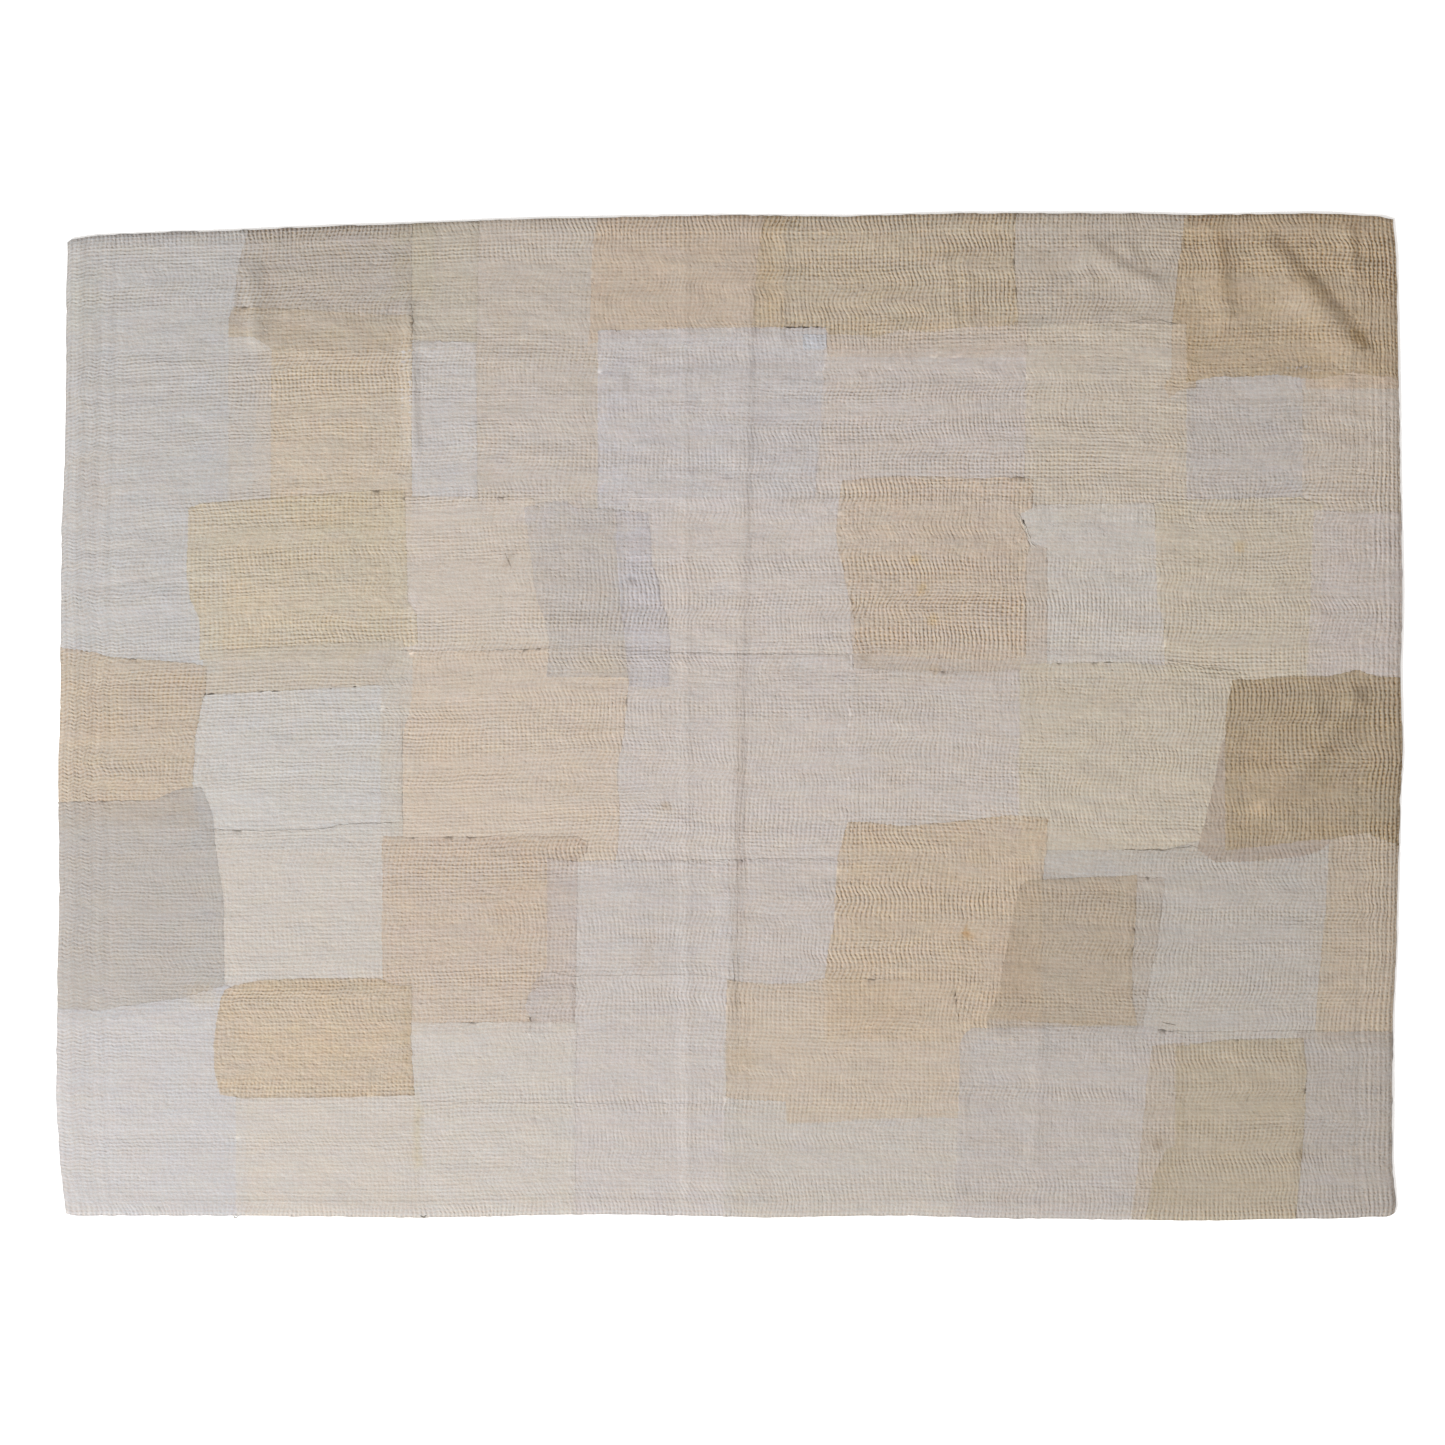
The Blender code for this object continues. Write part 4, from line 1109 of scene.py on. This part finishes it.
def makeStitches():
    # Each stitch is a little roof over four corners, laid from one hole of its row to the next.
    angles, lengths, widths, shades = thread["scatter"]
    holes = [onStitches(values) for values in (netX, netY, stackTop)]
    x, y, z = (0.5 * (hole[:, 1:] + hole[:, :-1]) for hole in holes)
    runX, runY, runZ = (hole[:, 1:] - hole[:, :-1] for hole in holes)
    slope = runZ / np.sqrt(runX ** 2 + runY ** 2 + runZ ** 2)
    angle = np.arctan2(runY, runX) + dice.normal(0.0, angles, x.shape)
    fromLong, fromLeft, fromRight = fromEdges(x, y)
    inHem = (fromLeft < sheet["hemLeft"]) | (fromRight < sheet["hemRight"]) | (fromLong < sheet["hemLong"])
    turn = np.where((stitchU + stitchV)[:, 1:] % 2 == 0, 1.0, -1.0)
    angle = angle + np.where(inHem, thread["hemTilt"] * turn, 0.0)
    half = 0.5 * quilting["length"] * (1.0 + lengths * dice.normal(0.0, 1.0, x.shape)).clip(0.5, 1.5)
    side = 0.5 * quilting["width"] * (1.0 + widths * dice.normal(0.0, 1.0, x.shape)).clip(0.6, 1.4)
    side = side * (1.0 - thread["ribbed"] * onStitches(netRibs)[:, 1:])
    cos, sin = np.cos(angle), np.sin(angle)
    base = z - thread["sunk"]
    corners = [
        (x - half * cos, y - half * sin, base - half * slope),
        (x + side * sin, y - side * cos, base),
        (x + half * cos, y + half * sin, base + half * slope),
        (x - side * sin, y + side * cos, base),
        (x, y, z + quilting["height"] * onStitches(netPucker)[:, 1:]),
    ]
    points = np.stack([np.stack(corner, axis=-1) for corner in corners], axis=2)
    dye = onStitches(stackDye)
    dye = 0.5 * (dye[:, 1:] + dye[:, :-1])
    dyed, more = thread["white"]
    pale = np.clip((dye.min(axis=2) / dye.max(axis=2) - dyed) / more, 0.0, 1.0)[..., None]
    share = np.array(thread["shade"]) * (1.0 - pale) + np.array(thread["onWhite"]) * pale
    dye = dye * share * (1.0 + shades * dice.normal(0.0, 1.0, x.shape))[..., None]
    dye = dye * (1.0 - thread["hemShade"] * inHem)[..., None]
    roof = np.array([(0, 1, 4), (1, 2, 4), (2, 3, 4), (3, 0, 4)])
    along = np.array([(0.0, 0.5), (0.5, 0.0), (1.0, 0.5), (0.5, 1.0), (0.5, 0.5)])
    pieces = []
    for band, rows in enumerate(np.array_split(np.arange(rowCount), thread["bands"])):
        bandPoints = points[rows].reshape(-1, 3)
        count = len(bandPoints) // 5
        faces = (np.arange(count)[:, None, None] * 5 + roof).reshape(-1, 3)
        bandDye = np.repeat(dye[rows].reshape(-1, 3), 5, axis=0)
        pieces.append(makePiece(f"runningStitch_{band}", bandPoints, faces, threadMaterial,
                                np.tile(along, (count, 1)), dye=bandDye))
    return pieces


stitchPieces = makeStitches()
print("stitches:", rowCount * (stitchCount - 1), "in", len(stitchPieces), "pieces")


# Sewn-down folds, loose threads and darned places: each a thread laid on the cloth, its dark colour also painted
# shade under the folded patch edges; with its points in photo pixels, its radius in metres, its colour as the photo
# shows it, the strands and how far they stray.
seams = {
    "hemRight": ((1356, 232), (1352, 373), (1356, 512), (1358, 660), (1357, 850), (1355, 1028), (1354, 1205),
                 0.00019, (159, 147, 132), 1, 0.0010),
    "peachTop": ((480, 651), (540, 649), (612, 646), (669, 652), (740, 654), (850, 655), 0.00022, (173, 163, 153),
                 1, 0.0013),
    "peachFoot": ((613, 861), (700, 860), (760, 859), (835, 858), 0.00021, (176, 165, 155), 1, 0.0012),
    "squareFoot": ((206, 829), (262, 831), (325, 829), (340, 825), (400, 822), 0.00022, (168, 156, 144), 1, 0.0011),
    "paleTop": ((420, 1101), (560, 1103), (735, 1104), 0.00019, (171, 159, 147), 1, 0.0012),
    "lowLine": ((480, 974), (547, 972), (575, 976), (628, 975), (690, 974), (727, 979), 0.00019, (171, 158, 144),
                1, 0.0010),
    "frayTan": ((1130, 322), (1150, 320), (1168, 322), (1178, 325), 0.00024, (136, 124, 108), 2, 0.0016),
    "frayCream": ((1165, 660), (1185, 663), (1200, 667), (1235, 670), 0.00024, (139, 125, 108), 2, 0.0014),
    "frayWhite": ((1120, 850), (1165, 850), (1190, 846), (1197, 848), 0.00026, (136, 122, 107), 2, 0.0016),
    "peachSide": ((403, 717), (402, 776), (403, 835), 0.00021, (168, 154, 139), 1, 0.0008),
    "rightJoin": ((1165, 1031), (1240, 1031), (1325, 1030), 0.00024, (146, 134, 122), 1, 0.0010),
    "khakiNick": ((1160, 1022), (1175, 1025), 0.00030, (127, 115, 102), 2, 0.0012),
    "paleFray": ((1016, 512), (1022, 522), (1030, 538), (1035, 550), 0.00045, (208, 198, 184), 3, 0.0026),
    "greyFray": ((1014, 512), (1024, 530), (1030, 548), 0.00021, (144, 136, 127), 1, 0.0016),
    "darn": ((505, 552), (508, 561), (512, 569), 0.00029, (163, 149, 134), 2, 0.0012),
    "khakiRowA": ((190, 565), (250, 556), (300, 550), 0.00021, (159, 144, 124), 1, 0.0009),
    "khakiRowB": ((245, 577), (310, 575), (375, 575), 0.00019, (164, 149, 129), 1, 0.0009),
    "khakiRowC": ((310, 638), (400, 637), 0.00019, (164, 149, 129), 1, 0.0009),
    "tanRow": ((482, 728), (560, 729), (624, 728), 0.00019, (170, 154, 137), 1, 0.0009),
    "pairLeft": ((737, 640), (738, 760), (737, 900), (738, 1075), 0.00021, (170, 158, 146), 1, 0.0010),
    "pairRight": ((745, 690), (744, 800), (745, 900), 0.00017, (175, 163, 152), 1, 0.0010),
    "sliver": ((1100, 325), (1092, 300), (1094, 270), 0.00017, (163, 153, 139), 1, 0.0010),
    "nubLeft": ((233, 1216), (236, 1218), (239, 1216), 0.00110, (188, 178, 166), 2, 0.0010),
    "nubMiddle": ((420, 1216), (423, 1218), (426, 1216), 0.00110, (188, 178, 166), 2, 0.0010),
}
seamShape = {
    "step": 0.0035,        # between two rings of the tube
    "bends": 0.009,        # from one bend to the next
    "raised": 0.2,         # radii that its middle lies above the cloth
    "end": 0.35,           # share of the radius at its two ends
    "ply": 0.004,          # metres of thread to a unit of the UV map
    "near": 0.01,          # how far round the thread the cloth's points are looked at
}


def heightAt(x, y):
    # The cloth's height at the nearest point of the net
    near = seamShape["near"]
    beside = (netX > x.min() - near) & (netX < x.max() + near)
    spots = np.flatnonzero(beside & (netY > y.min() - near) & (netY < y.max() + near))
    gap = (netX[spots][None, :] - x[:, None]) ** 2 + (netY[spots][None, :] - y[:, None]) ** 2
    return stackTop[spots[gap.argmin(axis=1)]]


def tubeAlong(x, y, z, radius):
    # A tube of five sides round the line, tapered to its ends; each ring stands across the way it runs.
    angle = np.arctan2(np.gradient(y), np.gradient(x))
    turn = np.arange(5) * 2.0 * np.pi / 5.0
    taper = radius * np.where(np.arange(len(x)) % (len(x) - 1) == 0, seamShape["end"], 1.0)
    aside = taper[:, None] * np.cos(turn)
    points = np.stack([x[:, None] - aside * np.sin(angle)[:, None],
                       y[:, None] + aside * np.cos(angle)[:, None],
                       z[:, None] + taper[:, None] * np.sin(turn)], axis=-1)
    ring = np.arange(len(x) * 5).reshape(len(x), 5)
    after = np.roll(ring, -1, axis=1)
    sides = np.stack([ring[:-1], ring[1:], after[1:], after[:-1]], axis=-1).reshape(-1, 4)
    fan = np.array([(0, 1, 2), (0, 2, 3), (0, 3, 4)])
    faces = np.concatenate([sides[:, [0, 1, 2]], sides[:, [0, 2, 3]], ring[0][fan], ring[-1][fan[:, ::-1]]])
    return points.reshape(-1, 3), faces


def makeSeams():
    points, faces, dyes, along, total = [], [], [], [], 0
    for number, row in enumerate(seams.values()):
        *line, radius, colour, strands, stray = row
        line = fromPhoto(line)
        way = np.concatenate([[0.0], np.cumsum(np.hypot(*np.diff(line, axis=0).T))])
        for strand in range(strands):
            start, end = (0.0, way[-1]) if strand == 0 else np.sort(dice.uniform(0.0, way[-1], 2))
            count = max(4, int((end - start) / seamShape["step"]))
            place = np.linspace(start, end, count)
            x, y = (np.interp(place, way, line[:, axis])
                    + stray * unevenness(place, 0.0 * place + number, seamShape["bends"], 1.0, seed + strand)
                    for axis, seed in ((0, seeds["strayX"]), (1, seeds["strayY"])))
            tube, sides = tubeAlong(x, y, heightAt(x, y) + seamShape["raised"] * radius, radius)
            points.append(tube)
            faces.append(sides + total)
            dyes.append(np.tile(unlit(colour, line.mean(axis=0)), (len(tube), 1)))
            lengthways = np.repeat(place / seamShape["ply"], 5)
            along.append(np.stack([lengthways, np.tile(np.arange(5) / 5.0, count)], axis=1))
            total += len(tube)
    return makePiece("seamThreadsAndShade", np.concatenate(points), np.concatenate(faces), threadMaterial,
                     np.concatenate(along), dye=np.concatenate(dyes))


seamPiece = makeSeams()
print("seam threads:", len(seamPiece.data.polygons), "triangles")


floor = {
    "half": 40.0,          # so wide that a low view doesn't show its edge
    "below": 0.0006,       # how far it lies under the quilt
    "colour": (0.90, 0.90, 0.90, 1.0),
    "glow": 0.44,          # lifts it to the photo's plain white
}


def makeFloor():
    half, low = floor["half"], -floor["below"]
    mesh = bpy.data.meshes.new("floor")
    mesh.from_pydata([(-half, -half, low), (half, -half, low), (half, half, low), (-half, half, low)],
                     [], [(0, 1, 2, 3)])
    material, _, _ = newMaterial("paleFloor", {
        "Base Color": floor["colour"], "Roughness": 0.9,
        "Emission Color": (1.0, 1.0, 1.0, 1.0), "Emission Strength": floor["glow"]})
    mesh.materials.append(material)
    piece = bpy.data.objects.new("floor", mesh)
    bpy.context.scene.collection.objects.link(piece)


# A soft light far off to the lower left, a small one nearer that corner, and even light all round.
# A lamp has its place, what it aims at, its size, its power and its colour.
light = {
    "key": ((-5.6, -5.2, 4.4), (0.0, 0.0, 0.0), 1.8, 915.0, (0.965, 1.0, 1.035)),
    "corner": ((-2.6, -2.6, 2.6), (-1.0, -0.8, 0.0), 1.5, 27.0, (0.965, 1.0, 1.035)),
    "sky": (0.406, 0.381, 0.362),
}


def makeLight(name, place, aim, size, power, colour):
    lampData = bpy.data.lights.new(name, "AREA")
    lampData.energy, lampData.size, lampData.color = power, size, colour
    lamp = bpy.data.objects.new(name, lampData)
    lamp.location = place
    toX, toY, toZ = np.array(aim) - np.array(place)
    lamp.rotation_euler = (np.arctan2(np.hypot(toX, toY), -toZ), 0.0, np.arctan2(toY, toX) - np.pi / 2)
    bpy.context.scene.collection.objects.link(lamp)


makeFloor()
makeLight("key", *light["key"])
makeLight("corner", *light["corner"])
world = bpy.data.worlds.new("room")
world.use_nodes = True
world.node_tree.nodes["Background"].inputs["Color"].default_value = (*light["sky"], 1.0)
bpy.context.scene.world = world
bpy.context.scene.view_settings.view_transform = "Standard"
print("floor and lights")

# The camera looks straight down on the photo's own frame.
camera = {"height": 5.2, "sensor": 36.0}
cameraData = bpy.data.cameras.new("fromAbove")
cameraData.sensor_fit = "HORIZONTAL"
cameraData.sensor_width = camera["sensor"]
cameraData.lens = camera["sensor"] * camera["height"] / (photo["pixels"] * photo["metresPerPixel"])
cameraPiece = bpy.data.objects.new("fromAbove", cameraData)
cameraPiece.location = (*fromPhoto((photo["pixels"] / 2, photo["pixels"] / 2)), camera["height"])
bpy.context.scene.collection.objects.link(cameraPiece)
bpy.context.scene.camera = cameraPiece

bpy.context.view_layer.update()
print("done")
